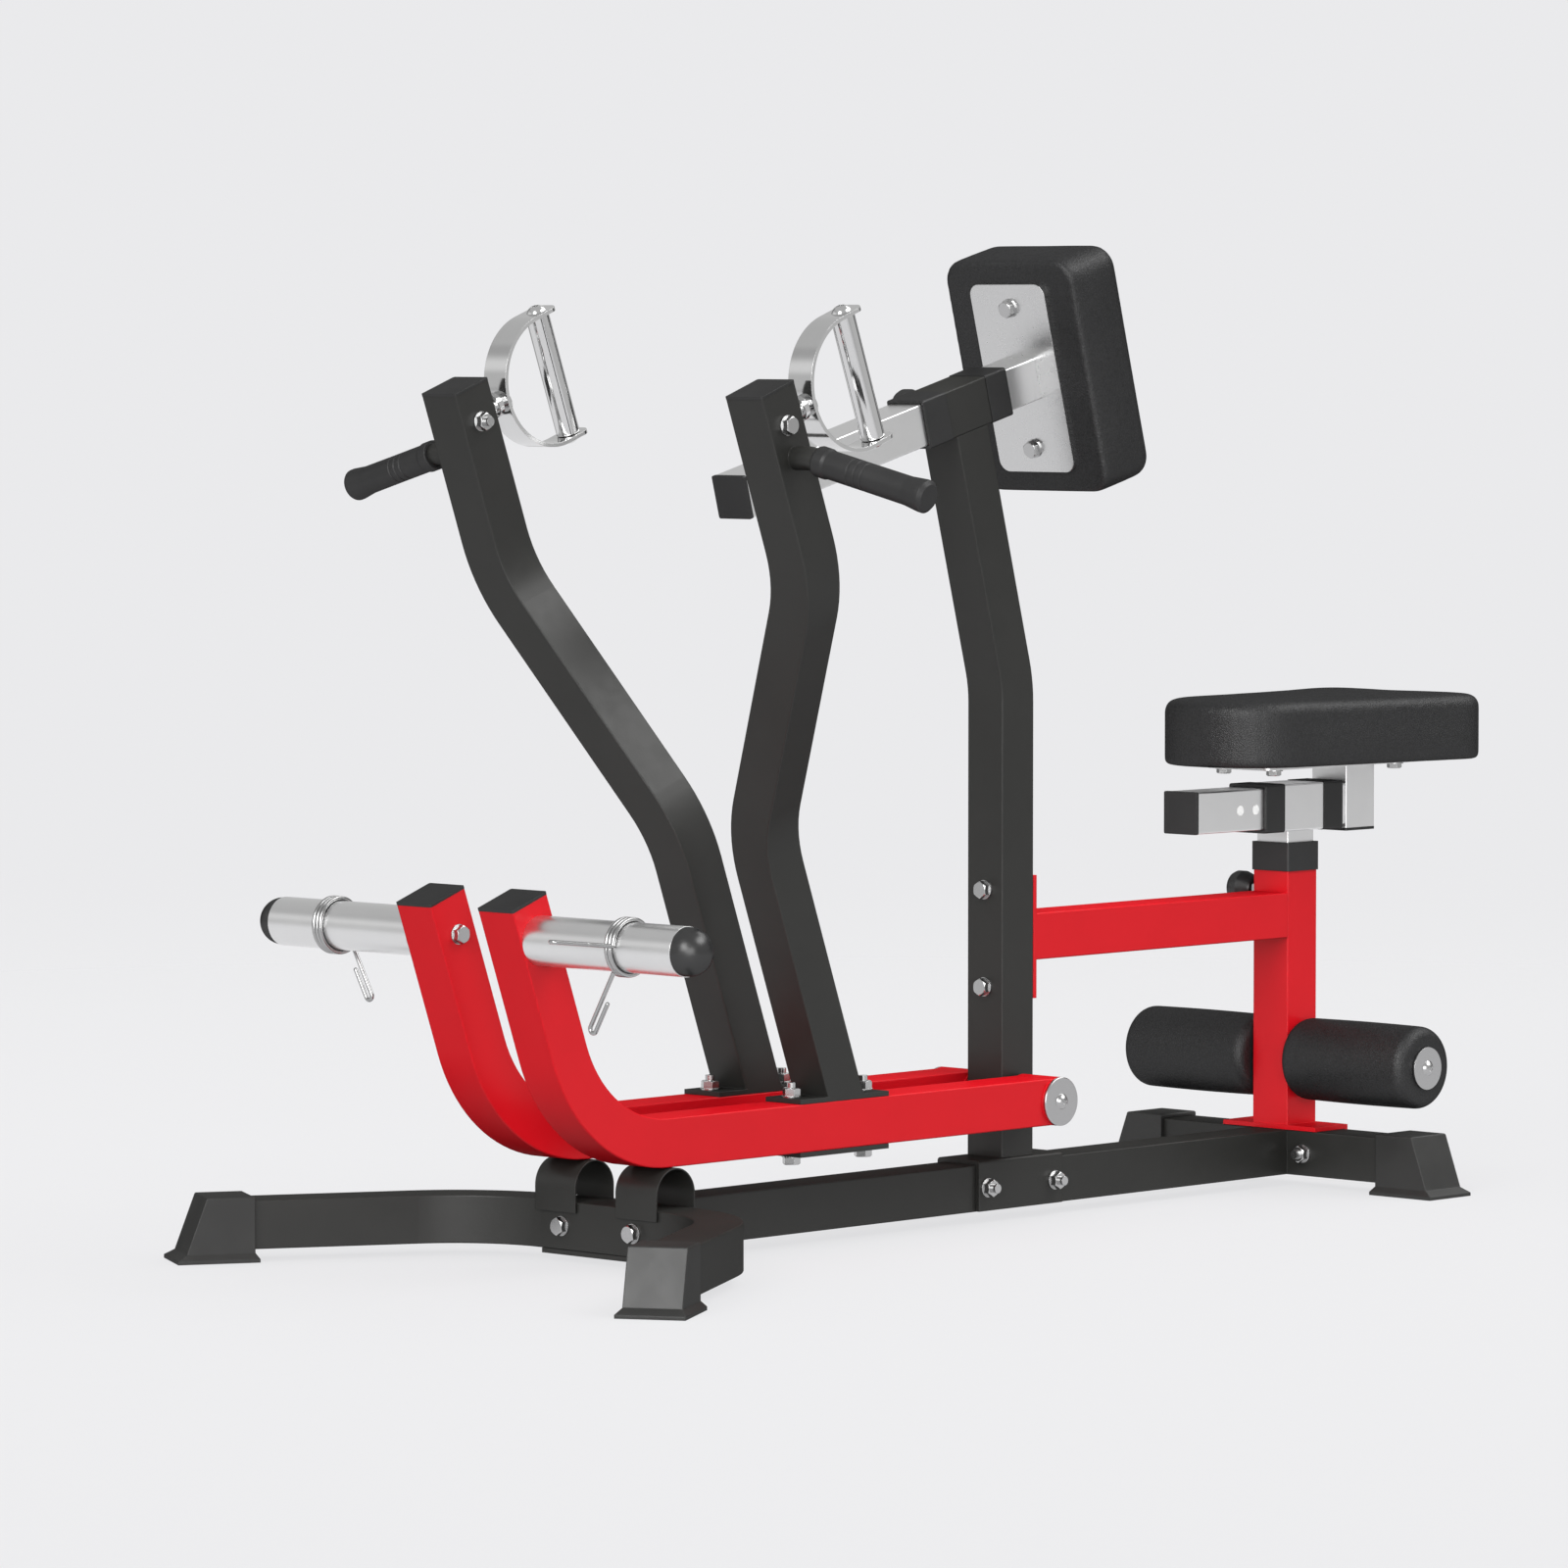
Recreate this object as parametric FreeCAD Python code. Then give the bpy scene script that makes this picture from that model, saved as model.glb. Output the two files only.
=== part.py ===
import FreeCAD, Part
import math, os

# Seated lever row machine, plate loaded. Millimetres, +Z up.
# The user sits at the +X end facing -X, so the machine's left side is -Y.
# The origin of the working coordinates is under the column; every piece is
# shifted by SHIFT_X at the end so that the origin lies under the middle of
# the whole machine.

V = FreeCAD.Vector
os.makedirs("parts", exist_ok=True)

# ------------------------------------------------------------ driving sizes
SHIFT_X = 104.1         # column axis to the middle of the machine
TUBE = 50.0              # frame tube, square
WALL = 3.0
TUBE_R = 1.6             # outer corner radius of the frame tube
SLIDE = 45.0             # telescoping tube
SLIDE_WALL = 2.5
SEAT_SLIDE = 46.0
BEAM_Z0 = 12.5           # underside of the base tubes
BEAM_Z1 = BEAM_Z0 + TUBE
PLATE = 5.0              # plate thickness
BEND_R = 155.0           # centre line bend radius

CROSS_X = 472.6          # rear cross beam and seat post
LEG_X = -585.8           # middle of the front leg
LEG_BEND_Y = 171.0
LEG_ANGLE = 30.0         # from the long axis
LEG_LEN = 304.5          # bend corner to tube end
BOOT_IN, BOOT_TOP, BOOT_OUT = 155.5, 205.5, 237.0
BOOT_W, BOOT_FLANGE, BOOT_Z = 60.0, 71.0, 67.0

BOLT_D = 10.0
HEX_AF = 16.5
SADDLE_HALF = 66.5
SADDLE_BOLT = 53.5
SADDLE_BOLT_Z = 38.0

COL_BEND_Z = 571.8
COL_BEND_R = 150.0
LEAN = 15.0              # upper column and chest pad
CH_N = 858.0             # chest slide above the origin, across the lean
CH_A0, CH_A1 = 116.0, 180.2     # chest sleeve along its axis
CH_BUSH0, CH_BUSH1 = 80.0, 213.0
CH_CAP, CH_PLATE = -199.0, 263.4
CH_PLATE_W, CH_PLATE_L = 105.5, 207.0
PAD_T, PAD_W, PAD_L = 79.0, 185.0, 258.0

BRACE_Z = 300.9
BRACE_BOLT = 52.0

PIVOT_Z = 130.0
PIVOT_R = 12.5
ARM_Y = 58.5             # middle plane of the lower arm
ARM_LEAN = 20.0
ARM_CORNER_X = -696.0    # corner of the J
ARM_UP = 272.0           # corner to the top of the end cap
ARM_R = 149.0
UP_LEAN = 20.2           # upper arm
UP_X = -330.1            # upper arm centre line at the top of the lower arm
UP_S1, UP_S2, UP_TOP = 293.3, 572.7, 780.2
UP_Y = 217.4
ARM_PLATE_X, ARM_PLATE_HALF, ARM_BOLT = -332.0, 66.5, 54.0

SLEEVE_X, SLEEVE_Z, SLEEVE_R = -774.0, 345.5, 25.0
SLEEVE_END = 287.0
WIRE = 4.5
COIL_Y = 208.0

POST_BUSH_Z0, POST_BUSH_Z1 = 349.5, 381.0
SEAT_Z = 420.2           # fore and aft slide axis
ROLLER_Z, ROLLER_R = 140.5, 46.0
ROLLER_Y0, ROLLER_Y1 = 27.5, 202.0
SEAT_X0, SEAT_X1 = 317.2, 692.8
SEAT_PAD_Z0, SEAT_PAD_Z1 = 469.1, 542.0

KNOB_R = 19.0
KNOB_END = 73.0


# ------------------------------------------------------------ helpers
def rad(a):
    return math.radians(a)


def mat(o, z, x):
    z = V(z); z.normalize()
    x = V(x); x = x - z * x.dot(z); x.normalize()
    y = z.cross(x)
    return FreeCAD.Matrix(x.x, y.x, z.x, o.x, x.y, y.y, z.y, o.y,
                          x.z, y.z, z.z, o.z, 0, 0, 0, 1)


def rrect(w, h, r):
    a, b = w / 2.0, h / 2.0
    if r <= 0:
        p = [V(-a, -b, 0), V(a, -b, 0), V(a, b, 0), V(-a, b, 0)]
        return Part.makePolygon(p + [p[0]])
    k = r * (1 - math.sqrt(0.5))
    e = []
    cs = [(a, -b, 1, -1), (a, b, 1, 1), (-a, b, -1, 1), (-a, -b, -1, -1)]
    pts = []
    for (x, y, sx, sy) in cs:
        p_in = V(x - sx * r, y, 0) if sx * sy < 0 else V(x, y - sy * r, 0)
        p_out = V(x, y - sy * r, 0) if sx * sy < 0 else V(x - sx * r, y, 0)
        mid = V(x - sx * k, y - sy * k, 0)
        pts.append((p_in, mid, p_out))
    n = len(pts)
    for i in range(n):
        e.append(Part.Arc(*pts[i]).toShape())
        e.append(Part.makeLine(pts[i][2], pts[(i + 1) % n][0]))
    return Part.Wire(Part.__sortEdges__(e))


def straight(p0, p1, side, w, h=None, t=WALL, r=TUBE_R):
    """Square tube from p0 to p1; w is measured along side."""
    h = w if h is None else h
    d = p1 - p0

    def bar(ww, hh, rr, a, b):
        f = Part.Face(rrect(ww, hh, rr))
        f.transformShape(mat(a, d, side), True)
        return f.extrude(b - a)
    s = bar(w, h, r, p0, p1)
    if t > 0:
        u = V(d)
        u.normalize()
        s = s.cut(bar(w - 2 * t, h - 2 * t, max(r - t, 0.6), p0 - u, p1 + u))
    return s


def solid_bar(p0, p1, side, w, h, r=0.0):
    return straight(p0, p1, side, w, h, 0, r)


def bent_bar(pts, radii, nrm, w, r, ext):
    pieces = []
    cur = pts[0]
    n = len(pts)
    for i in range(1, n):
        d = pts[i] - pts[i - 1]
        d.normalize()
        if i < n - 1:
            d2 = pts[i + 1] - pts[i]
            d2.normalize()
            ang = d.getAngle(d2)
            tl = radii[i - 1] * math.tan(ang / 2.0)
            end = pts[i] - d * tl
        else:
            end = pts[i] + d * ext
        start = cur - d * ext if i == 1 else cur
        f = Part.Face(rrect(w, w, r))
        f.transformShape(mat(start, d, nrm), True)
        pieces.append(f.extrude(end - start))
        if i < n - 1:
            turn = d.cross(d2)
            sgn = 1.0 if turn.dot(nrm) > 0 else -1.0
            inward = nrm.cross(d) * sgn
            c = end + inward * radii[i - 1]
            f = Part.Face(rrect(w, w, r))
            f.transformShape(mat(end, d, nrm), True)
            pieces.append(f.revolve(c, nrm * sgn, math.degrees(ang)))
            cur = pts[i] + d2 * tl
    out = pieces[0].multiFuse(pieces[1:])
    return out.removeSplitter()


def bent(pts, radii, nrm, w, t=WALL, r=TUBE_R):
    """Tube bent in one plane; nrm is the plane's normal."""
    nrm = V(nrm)
    nrm.normalize()
    outer = bent_bar(pts, radii, nrm, w, r, 0.0)
    inner = bent_bar(pts, radii, nrm, w - 2 * t, max(r - t, 0.6), 1.0)
    return outer.cut(inner)


def cyl(p, d, r, length):
    return Part.makeCylinder(r, length, p, d)


def ring(p, d, ro, ri, length):
    return cyl(p, d, ro, length).cut(cyl(p, d, ri, length))


def box(x0, x1, y0, y1, z0, z1):
    return Part.makeBox(x1 - x0, y1 - y0, z1 - z0, V(x0, y0, z0))


def hexa(p, d, af, h, chamfer=1.2):
    rc = af / math.sqrt(3.0)
    pts = [V(rc * math.cos(rad(60 * i)), rc * math.sin(rad(60 * i)), 0) for i in range(7)]
    pr = Part.Face(Part.makePolygon(pts)).extrude(V(0, 0, h))
    lim = Part.makeCylinder(rc, h - chamfer).fuse(
        Part.makeCone(rc, rc - chamfer * 1.35, chamfer, V(0, 0, h - chamfer)))
    s = pr.common(lim)
    x = V(0, 0, 1) if abs(V(d).z) < 0.9 else V(1, 0, 0)
    s.transformShape(mat(p, d, x), True)
    return s


def bolt(p, d, grip, dia=BOLT_D, af=HEX_AF, head=7.5, nut=True, washer=1.8, tail=5.5):
    """Hex bolt; p lies on the surface under the head, d points out of it."""
    d = V(d); d.normalize()
    s = [hexa(p + d * washer, d, af, head)]
    s.append(cyl(p, d, dia * 0.5 + 5.2, washer))
    end = grip + (washer + dia * 0.83 + tail if nut else 0.0)
    s.append(cyl(p - d * end, d, dia / 2.0, end))
    if nut:
        q = p - d * grip
        s.append(ring(q - d * washer, d, dia * 0.5 + 5.2, dia / 2.0 - 0.2, washer))
        s.append(hexa(q - d * washer, d * -1, af, dia * 0.83))
    out = s[0].multiFuse(s[1:])
    return out.removeSplitter()


def button_head(p, d, r, h):
    """Low domed screw head with a socket."""
    sph = (r * r + h * h) / (2 * h)
    c = V(0, 0, h - sph)
    s = Part.makeSphere(sph, c).common(Part.makeCylinder(r, h))
    s = s.cut(hexa(V(0, 0, h * 0.45), V(0, 0, 1), r * 0.72, h, 0.1))
    d = V(d)
    x = V(0, 0, 1) if abs(d.z) < 0.9 else V(1, 0, 0)
    s.transformShape(mat(p, d, x), True)
    return s


def comp(items):
    return items[0] if len(items) == 1 else Part.makeCompound(items)


def mirror(s):
    return s.mirror(V(0, 0, 0), V(0, 1, 0))


X, Y, Z = V(1, 0, 0), V(0, 1, 0), V(0, 0, 1)
HALF = TUBE / 2.0
BEAM_ZC = BEAM_Z0 + HALF
HOLE = BOLT_D / 2.0 + 0.3

parts = {}

# ------------------------------------------------------------ base frame
beam = straight(V(LEG_X + HALF + PLATE, 0, BEAM_ZC), V(CROSS_X - HALF, 0, BEAM_ZC), Y, TUBE)
cross = straight(V(CROSS_X, -198, BEAM_ZC), V(CROSS_X, 198, BEAM_ZC), X, TUBE)
front_plate = box(LEG_X + HALF, LEG_X + HALF + PLATE, -80, 80, BEAM_Z0 - PLATE, BEAM_Z1)
lip = box(LEG_X - HALF, LEG_X + HALF + PLATE, -80, 80, BEAM_Z0 - PLATE, BEAM_Z0)
base = beam.multiFuse([cross, front_plate, lip]).removeSplitter()
FB_Y, FB_Z = 51.0, 37.0
SB_Y, SB_Z = 48.5, 37.3
for sy in (-1, 1):
    base = base.cut(cyl(V(LEG_X, sy * FB_Y, FB_Z), X, HOLE, 60))
    base = base.cut(cyl(V(CROSS_X - 40, sy * SB_Y, SB_Z), X, HOLE, 80))
for sx in (-1, 1):
    base = base.cut(cyl(V(sx * SADDLE_BOLT, -40, SADDLE_BOLT_Z), Y, HOLE, 80))
parts["base_frame"] = base

c30, s30 = math.cos(rad(LEG_ANGLE)), math.sin(rad(LEG_ANGLE))
leg_end = [V(LEG_X - c30 * LEG_LEN, sy * (LEG_BEND_Y + s30 * LEG_LEN), BEAM_ZC) for sy in (-1, 1)]
leg = bent([leg_end[0], V(LEG_X, -LEG_BEND_Y, BEAM_ZC), V(LEG_X, LEG_BEND_Y, BEAM_ZC), leg_end[1]],
           [BEND_R, BEND_R], Z, TUBE)
for sy in (-1, 1):
    leg = leg.cut(cyl(V(LEG_X - 40, sy * FB_Y, FB_Z), X, HOLE, 80))
parts["front_leg"] = leg


def boot(tube_end):
    """Rubber foot on a tube that runs along +X and stops at tube_end."""
    a = -BOOT_TOP + tube_end
    p = [(BOOT_IN + a, 0), (BOOT_OUT - 7 + a, 0), (BOOT_OUT - 10 + a, 9),
         (BOOT_TOP + a, BOOT_Z), (BOOT_IN + a, BOOT_Z)]
    poly = Part.makePolygon([V(u, -BOOT_W / 2, w) for u, w in p + [p[0]]])
    body = Part.Face(poly).extrude(V(0, BOOT_W, 0))
    up = [e for e in body.Edges if abs(e.Vertexes[0].Z - BOOT_Z) < 0.01 and abs(e.Vertexes[-1].Z - BOOT_Z) < 0.01]
    body = body.makeFillet(2.0, up)
    f0, f1, hw = BOOT_IN - 4 + a, BOOT_OUT + a, BOOT_FLANGE / 2
    low = box(f0, f1, -hw, hw, 0, 3.6)
    w1 = Part.makePolygon([V(f0, -hw, 3.6), V(f1, -hw, 3.6), V(f1, hw, 3.6), V(f0, hw, 3.6), V(f0, -hw, 3.6)])
    b0, b1, bw = BOOT_IN + a, BOOT_OUT - 10 + a, BOOT_W / 2
    w2 = Part.makePolygon([V(b0, -bw, 9.4), V(b1, -bw, 9.4), V(b1, bw, 9.4), V(b0, bw, 9.4), V(b0, -bw, 9.4)])
    skirt = Part.makeLoft([w1, w2], True, True)
    s = body.multiFuse([low, skirt]).removeSplitter()
    return s, a


def placed_boot(end, d):
    """end is the middle of the tube's cut end, d the outward direction."""
    s, a = boot(198.0)
    # the local tube end lies at u = 198 + a measured from the local origin
    u_end = 198.0 + a
    s = s.cut(box(-300, u_end, -HALF, HALF, BEAM_Z0, BEAM_Z1))
    s.translate(V(-u_end, 0, 0))
    s.transformShape(mat(V(end.x, end.y, 0), Z, d), True)
    return s


parts["boot_rear_left"] = placed_boot(V(CROSS_X, -198, 0), V(0, -1, 0))
parts["boot_rear_right"] = placed_boot(V(CROSS_X, 198, 0), V(0, 1, 0))
parts["boot_front_left"] = placed_boot(leg_end[0], V(-c30, -s30, 0))
parts["boot_front_right"] = placed_boot(leg_end[1], V(-c30, s30, 0))

ARCH_GAP = 0.4
ARCH_R, ARCH_T, ARCH_L, ARCH_Y, ARCH_LAP = 28.0, 1.5, 58.0, 57.8, 11.0
arches = []
for sy in (-1, 1):
    zc = PIVOT_Z - HALF - ARCH_GAP - ARCH_R

    def arch_face(r, front, rear):
        """Arch outline; front and rear are the heights of its two feet."""
        return Part.Face(Part.Wire([
            Part.makeLine(V(LEG_X - r, 0, front), V(LEG_X - r, 0, zc)),
            Part.Arc(V(LEG_X - r, 0, zc), V(LEG_X, 0, zc + r), V(LEG_X + r, 0, zc)).toShape(),
            Part.makeLine(V(LEG_X + r, 0, zc), V(LEG_X + r, 0, rear)),
            Part.makeLine(V(LEG_X + r, 0, rear), V(LEG_X - r, 0, front))]))
    o = arch_face(ARCH_R, BEAM_Z1 - ARCH_LAP, BEAM_Z1 - ARCH_LAP).extrude(V(0, ARCH_L, 0))
    i_ = arch_face(ARCH_R - ARCH_T, BEAM_Z1 - 40, BEAM_Z1 - 40).extrude(V(0, ARCH_L, 0))
    a = o.cut(i_)
    a = a.cut(box(LEG_X, LEG_X + 60, -1, ARCH_L + 1, 0, BEAM_Z1))
    a.translate(V(0, sy * ARCH_Y - ARCH_L / 2.0, 0))
    arches.append(a)
parts["stop_arches"] = comp(arches)

# ------------------------------------------------------------ column
cl, sl = math.cos(rad(LEAN)), math.sin(rad(LEAN))
A = V(cl, 0, sl)          # along the chest slide, rearward and up
N = V(-sl, 0, cl)         # along the upper column


def an(a, n, y=0.0):
    return V(a * cl - n * sl, y, a * sl + n * cl)


CH_H = 25.3
col_top = an(COL_BEND_Z * sl, CH_N - CH_H)
column = bent([V(0, 0, BEAM_Z1 + PLATE), V(0, 0, COL_BEND_Z), col_top], [COL_BEND_R], Y, TUBE)
saddle = box(-SADDLE_HALF, SADDLE_HALF, -30, 30, BEAM_Z0 + 0.5, BEAM_Z1 + PLATE)
up = [e for e in saddle.Edges if abs(e.Vertexes[0].Z - BEAM_Z1 - PLATE) < 0.01
      and abs(e.Vertexes[-1].Z - BEAM_Z1 - PLATE) < 0.01 and abs(e.Vertexes[0].Y - e.Vertexes[-1].Y) < 0.01]
saddle = saddle.makeFillet(4.0, up)
saddle = saddle.cut(box(-SADDLE_HALF - 1, SADDLE_HALF + 1, -HALF, HALF, 0, BEAM_Z1))
bosses = [ring(V(0, sy * HALF, PIVOT_Z), V(0, sy, 0), 21.0, PIVOT_R, 6.7) for sy in (-1, 1)]
column = column.multiFuse([saddle] + bosses).removeSplitter()
for sx in (-1, 1):
    column = column.cut(cyl(V(sx * SADDLE_BOLT, -40, SADDLE_BOLT_Z), Y, HOLE, 80))
    column = column.cut(cyl(V(-40, 0, BRACE_Z + sx * BRACE_BOLT), X, HOLE, 80))
column = column.cut(cyl(V(0, -60, PIVOT_Z), Y, PIVOT_R + 0.02, 120))
parts["column"] = column

# chest sleeve at the top of the column
sleeve = straight(an(CH_A0, CH_N), an(CH_A1, CH_N), Y, 2 * CH_H, t=2.3, r=2.0)
PIN_A = (CH_A0 + CH_A1) / 2
sleeve = sleeve.cut(cyl(an(PIN_A, CH_N, 15), Y, 5.4, 20))
parts["chest_sleeve"] = sleeve
bush = []
for a0, a1 in ((CH_BUSH0, CH_A0), (CH_A1, CH_BUSH1)):
    b = straight(an(a0, CH_N), an(a1, CH_N), Y, 52.4, t=(52.4 - SLIDE - 0.8) / 2, r=3.0)
    bush.append(b)
parts["chest_bushes"] = comp(bush)

# ------------------------------------------------------------ seat post weldment
PW = 2.0
post = straight(V(CROSS_X, 0, BEAM_Z1 + PLATE), V(CROSS_X, 0, POST_BUSH_Z0), X, TUBE, t=PW)
pl = box(CROSS_X - HALF - 1.6, CROSS_X + HALF + PLATE, -SADDLE_HALF, SADDLE_HALF, BEAM_Z1, BEAM_Z1 + PLATE)
fl = box(CROSS_X + HALF, CROSS_X + HALF + PLATE, -SADDLE_HALF, SADDLE_HALF, BEAM_Z0 + 2, BEAM_Z1)
post = post.multiFuse([pl, fl]).removeSplitter()
SHAFT_R = 12.5
post = post.cut(cyl(V(CROSS_X, -60, ROLLER_Z), Y, SHAFT_R + 0.02, 120))
for sy in (-1, 1):
    post = post.cut(cyl(V(CROSS_X, sy * SB_Y, SB_Z), X, HOLE, 60))
KNOB_Z = 326.0
post = post.cut(cyl(V(CROSS_X, 15, KNOB_Z), Y, 5.4, 20))
parts["seat_post"] = post
brace = straight(V(HALF + PLATE, 0, BRACE_Z), V(CROSS_X - HALF, 0, BRACE_Z), Y, TUBE)
bp_ = box(HALF, HALF + PLATE, -HALF, HALF, BRACE_Z - 66, BRACE_Z + 66)
brace = brace.fuse(bp_).removeSplitter()
for s in (-1, 1):
    brace = brace.cut(cyl(V(0, 0, BRACE_Z + s * BRACE_BOLT), X, HOLE, 80))
parts["seat_brace"] = brace
parts["post_bush"] = straight(V(CROSS_X, 0, POST_BUSH_Z0), V(CROSS_X, 0, POST_BUSH_Z1), X, 53.6,
                              t=(53.6 - SLIDE - 0.8) / 2, r=3.0)

# rods, caps and fasteners of the fixed frame
ROLL_GAP = 0.35
parts["roller_shaft"] = cyl(V(CROSS_X, -ROLLER_Y1 - ROLL_GAP, ROLLER_Z), Y, SHAFT_R, 2 * (ROLLER_Y1 + ROLL_GAP))
BUSH_OUT = 85.0
parts["pivot_shaft"] = cyl(V(0, -BUSH_OUT - 0.3, PIVOT_Z), Y, PIVOT_R, 2 * BUSH_OUT + 0.6)
ends = []
for sy in (-1, 1):
    w = cyl(V(CROSS_X, sy * (ROLLER_Y1 + ROLL_GAP), ROLLER_Z), V(0, sy, 0), 23.4, 2.5)
    hd = button_head(V(CROSS_X, sy * (ROLLER_Y1 + ROLL_GAP + 2.5), ROLLER_Z), V(0, sy, 0), 8.6, 4.6)
    ends.append(w.fuse(hd).removeSplitter())
parts["roller_end_washers"] = comp(ends)
ends = []
for sy in (-1, 1):
    w = cyl(V(0, sy * (BUSH_OUT + 0.3), PIVOT_Z), V(0, sy, 0), 26.0, 3.0)
    w = w.makeChamfer(0.8, [e for e in w.Edges if abs(abs(e.BoundBox.YMin) - BUSH_OUT - 3.3) < 0.01
                            and abs(abs(e.BoundBox.YMax) - BUSH_OUT - 3.3) < 0.01])
    hd = button_head(V(0, sy * (BUSH_OUT + 3.3), PIVOT_Z), V(0, sy, 0), 8.5, 5.2)
    ends.append(w.fuse(hd).removeSplitter())
parts["pivot_end_caps"] = comp(ends)

fast = []
for sy in (-1, 1):
    fast.append(bolt(V(LEG_X - HALF, sy * FB_Y, FB_Z), V(-1, 0, 0), TUBE + PLATE))
    fast.append(bolt(V(CROSS_X + HALF + PLATE, sy * SB_Y, SB_Z), V(1, 0, 0), TUBE + PLATE))
for sx in (-1, 1):
    fast.append(bolt(V(sx * SADDLE_BOLT, 30, SADDLE_BOLT_Z), V(0, 1, 0), 60.0))
    fast.append(bolt(V(-HALF, 0, BRACE_Z + sx * BRACE_BOLT), V(-1, 0, 0), TUBE + PLATE))
parts["frame_bolts"] = comp(fast)


# spring pins with round knobs
def housing(o):
    s = ring(o, Y, 10.5, 5.2, 9.0)
    s2 = hexa(o + Y * 9.0, Y, 19.0, 7.0, 1.0).cut(cyl(o, Y, 5.2, 20))
    return s.fuse(s2).removeSplitter()


def pin(o, length_in):
    """Pin with its knob; o lies on the tube wall, the pin points to -Y."""
    shaft = cyl(o - Y * length_in, Y, 4.9, length_in + 24.0)
    y0 = KNOB_END - o.y
    prof = [(0, 17.5), (12.0, 17.5), (13.5, 19.0), (16.8, 27.0), (KNOB_R, 33.0), (KNOB_R, y0 - 6.0),
            (KNOB_R - 1.8, y0 - 2.2), (KNOB_R - 6.0, y0), (0, y0)]
    w = Part.makePolygon([V(r_, h, 0) for r_, h in prof] + [V(0, 17.5, 0)])
    k = Part.Face(w).revolve(V(0, 0, 0), V(0, 1, 0), 360)
    k.translate(o)
    return shaft.fuse(k).removeSplitter()


chest_o = an(PIN_A, CH_N, CH_H)
post_o = V(CROSS_X, HALF, KNOB_Z)
seat_h = 26.2
seat_o = V(473.5, seat_h, SEAT_Z)
parts["pin_housings"] = comp([housing(chest_o), housing(post_o)])
parts["chest_pin"] = pin(chest_o, 2.2)
parts["post_pin"] = pin(post_o, 1.9)

# ------------------------------------------------------------ chest pad
ch_tube = straight(an(CH_CAP + 4.0, CH_N), an(CH_PLATE, CH_N), Y, SLIDE, t=SLIDE_WALL, r=2.0)
for k in range(8):
    ch_tube = ch_tube.cut(cyl(an(-150 + 40 * k, CH_N, 15), Y, 5.5, 20))
parts["chest_slide_tube"] = ch_tube
cap = solid_bar(an(CH_CAP, CH_N), an(CH_CAP + 4, CH_N), Y, 45.8, 45.8, 2.2)
ins = straight(an(CH_CAP + 4, CH_N), an(CH_CAP + 24, CH_N), Y, SLIDE - 2 * SLIDE_WALL, t=2.0, r=1.5)
parts["chest_tube_cap"] = cap.fuse(ins).removeSplitter()
cp = solid_bar(an(CH_PLATE, CH_N), an(CH_PLATE + PLATE, CH_N), Y, CH_PLATE_W, CH_PLATE_L, 13.0)
CH_BOLT = 77.5
for s in (-1, 1):
    cp = cp.cut(cyl(an(CH_PLATE - 5, CH_N + s * CH_BOLT), A, 5.2, 20))
parts["chest_plate"] = cp
cb = []
for s in (-1, 1):
    cb.append(bolt(an(CH_PLATE, CH_N + s * CH_BOLT), A * -1, 24.0, dia=10.0, af=16.5, head=6.6, nut=False, washer=1.6))
parts["chest_bolts"] = comp(cb)
pad = solid_bar(an(CH_PLATE + PLATE, CH_N), an(CH_PLATE + PLATE + PAD_T, CH_N), Y, PAD_W, PAD_L, 26.0)


def facing(shape, d, at):
    """Edges that lie in the plane through at with normal d."""
    out = []
    for e in shape.Edges:
        ok = True
        for t in (0.0, 0.5, 1.0):
            p = e.valueAt(e.FirstParameter + t * (e.LastParameter - e.FirstParameter))
            if abs((p - at).dot(d)) > 0.01:
                ok = False
        if ok:
            out.append(e)
    return out


pad = pad.makeFillet(14.0, facing(pad, A, an(CH_PLATE + PLATE + PAD_T, CH_N)))
pad = pad.makeFillet(6.0, facing(pad, A, an(CH_PLATE + PLATE, CH_N)))
for s in (-1, 1):
    pad = pad.cut(cyl(an(CH_PLATE, CH_N + s * CH_BOLT), A, 5.2, 26))
parts["chest_pad"] = pad

# ------------------------------------------------------------ seat carriage
RISER_BOT = 166.0
SEAT_C = 26.2
riser = straight(V(CROSS_X, 0, RISER_BOT), V(CROSS_X, 0, SEAT_Z - SEAT_C), X, SLIDE, t=SLIDE_WALL, r=2.0)
for k in range(5):
    riser = riser.cut(cyl(V(CROSS_X, 15, KNOB_Z - 100 + 25 * k), Y, 5.5, 20))
COLLAR0, COLLAR1 = 440.0, 507.0
collar = straight(V(COLLAR0, 0, SEAT_Z), V(COLLAR1, 0, SEAT_Z), Y, 2 * SEAT_C, t=2.6, r=2.0)
collar = collar.cut(cyl(V(473.5, 15, SEAT_Z), Y, 5.4, 20))
riser = riser.fuse(collar).removeSplitter()
parts["seat_riser"] = riser
sb = []
for x0, x1 in ((408.0, COLLAR0), (COLLAR1, 539.5)):
    sb.append(straight(V(x0, 0, SEAT_Z), V(x1, 0, SEAT_Z), Y, 54.0, t=(54.0 - SEAT_SLIDE - 0.8) / 2, r=3.0))
parts["seat_bushes"] = comp(sb)
parts["seat_pin_housing"] = housing(seat_o)
parts["seat_pin"] = pin(seat_o, 2.5)
UP_X0, UP_X1 = 548.0, 598.0
slider = straight(V(297.5, 0, SEAT_Z), V(UP_X0, 0, SEAT_Z), Y, SEAT_SLIDE, t=SLIDE_WALL, r=2.0)
PITCH = 26.3             # between the seat's setting holes
PLUG_R = 5.7
for k in range(5):
    slider = slider.cut(cyl(V(473.5 - PITCH * k, 15, SEAT_Z), Y, 5.5, 20))
plugs = []
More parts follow.
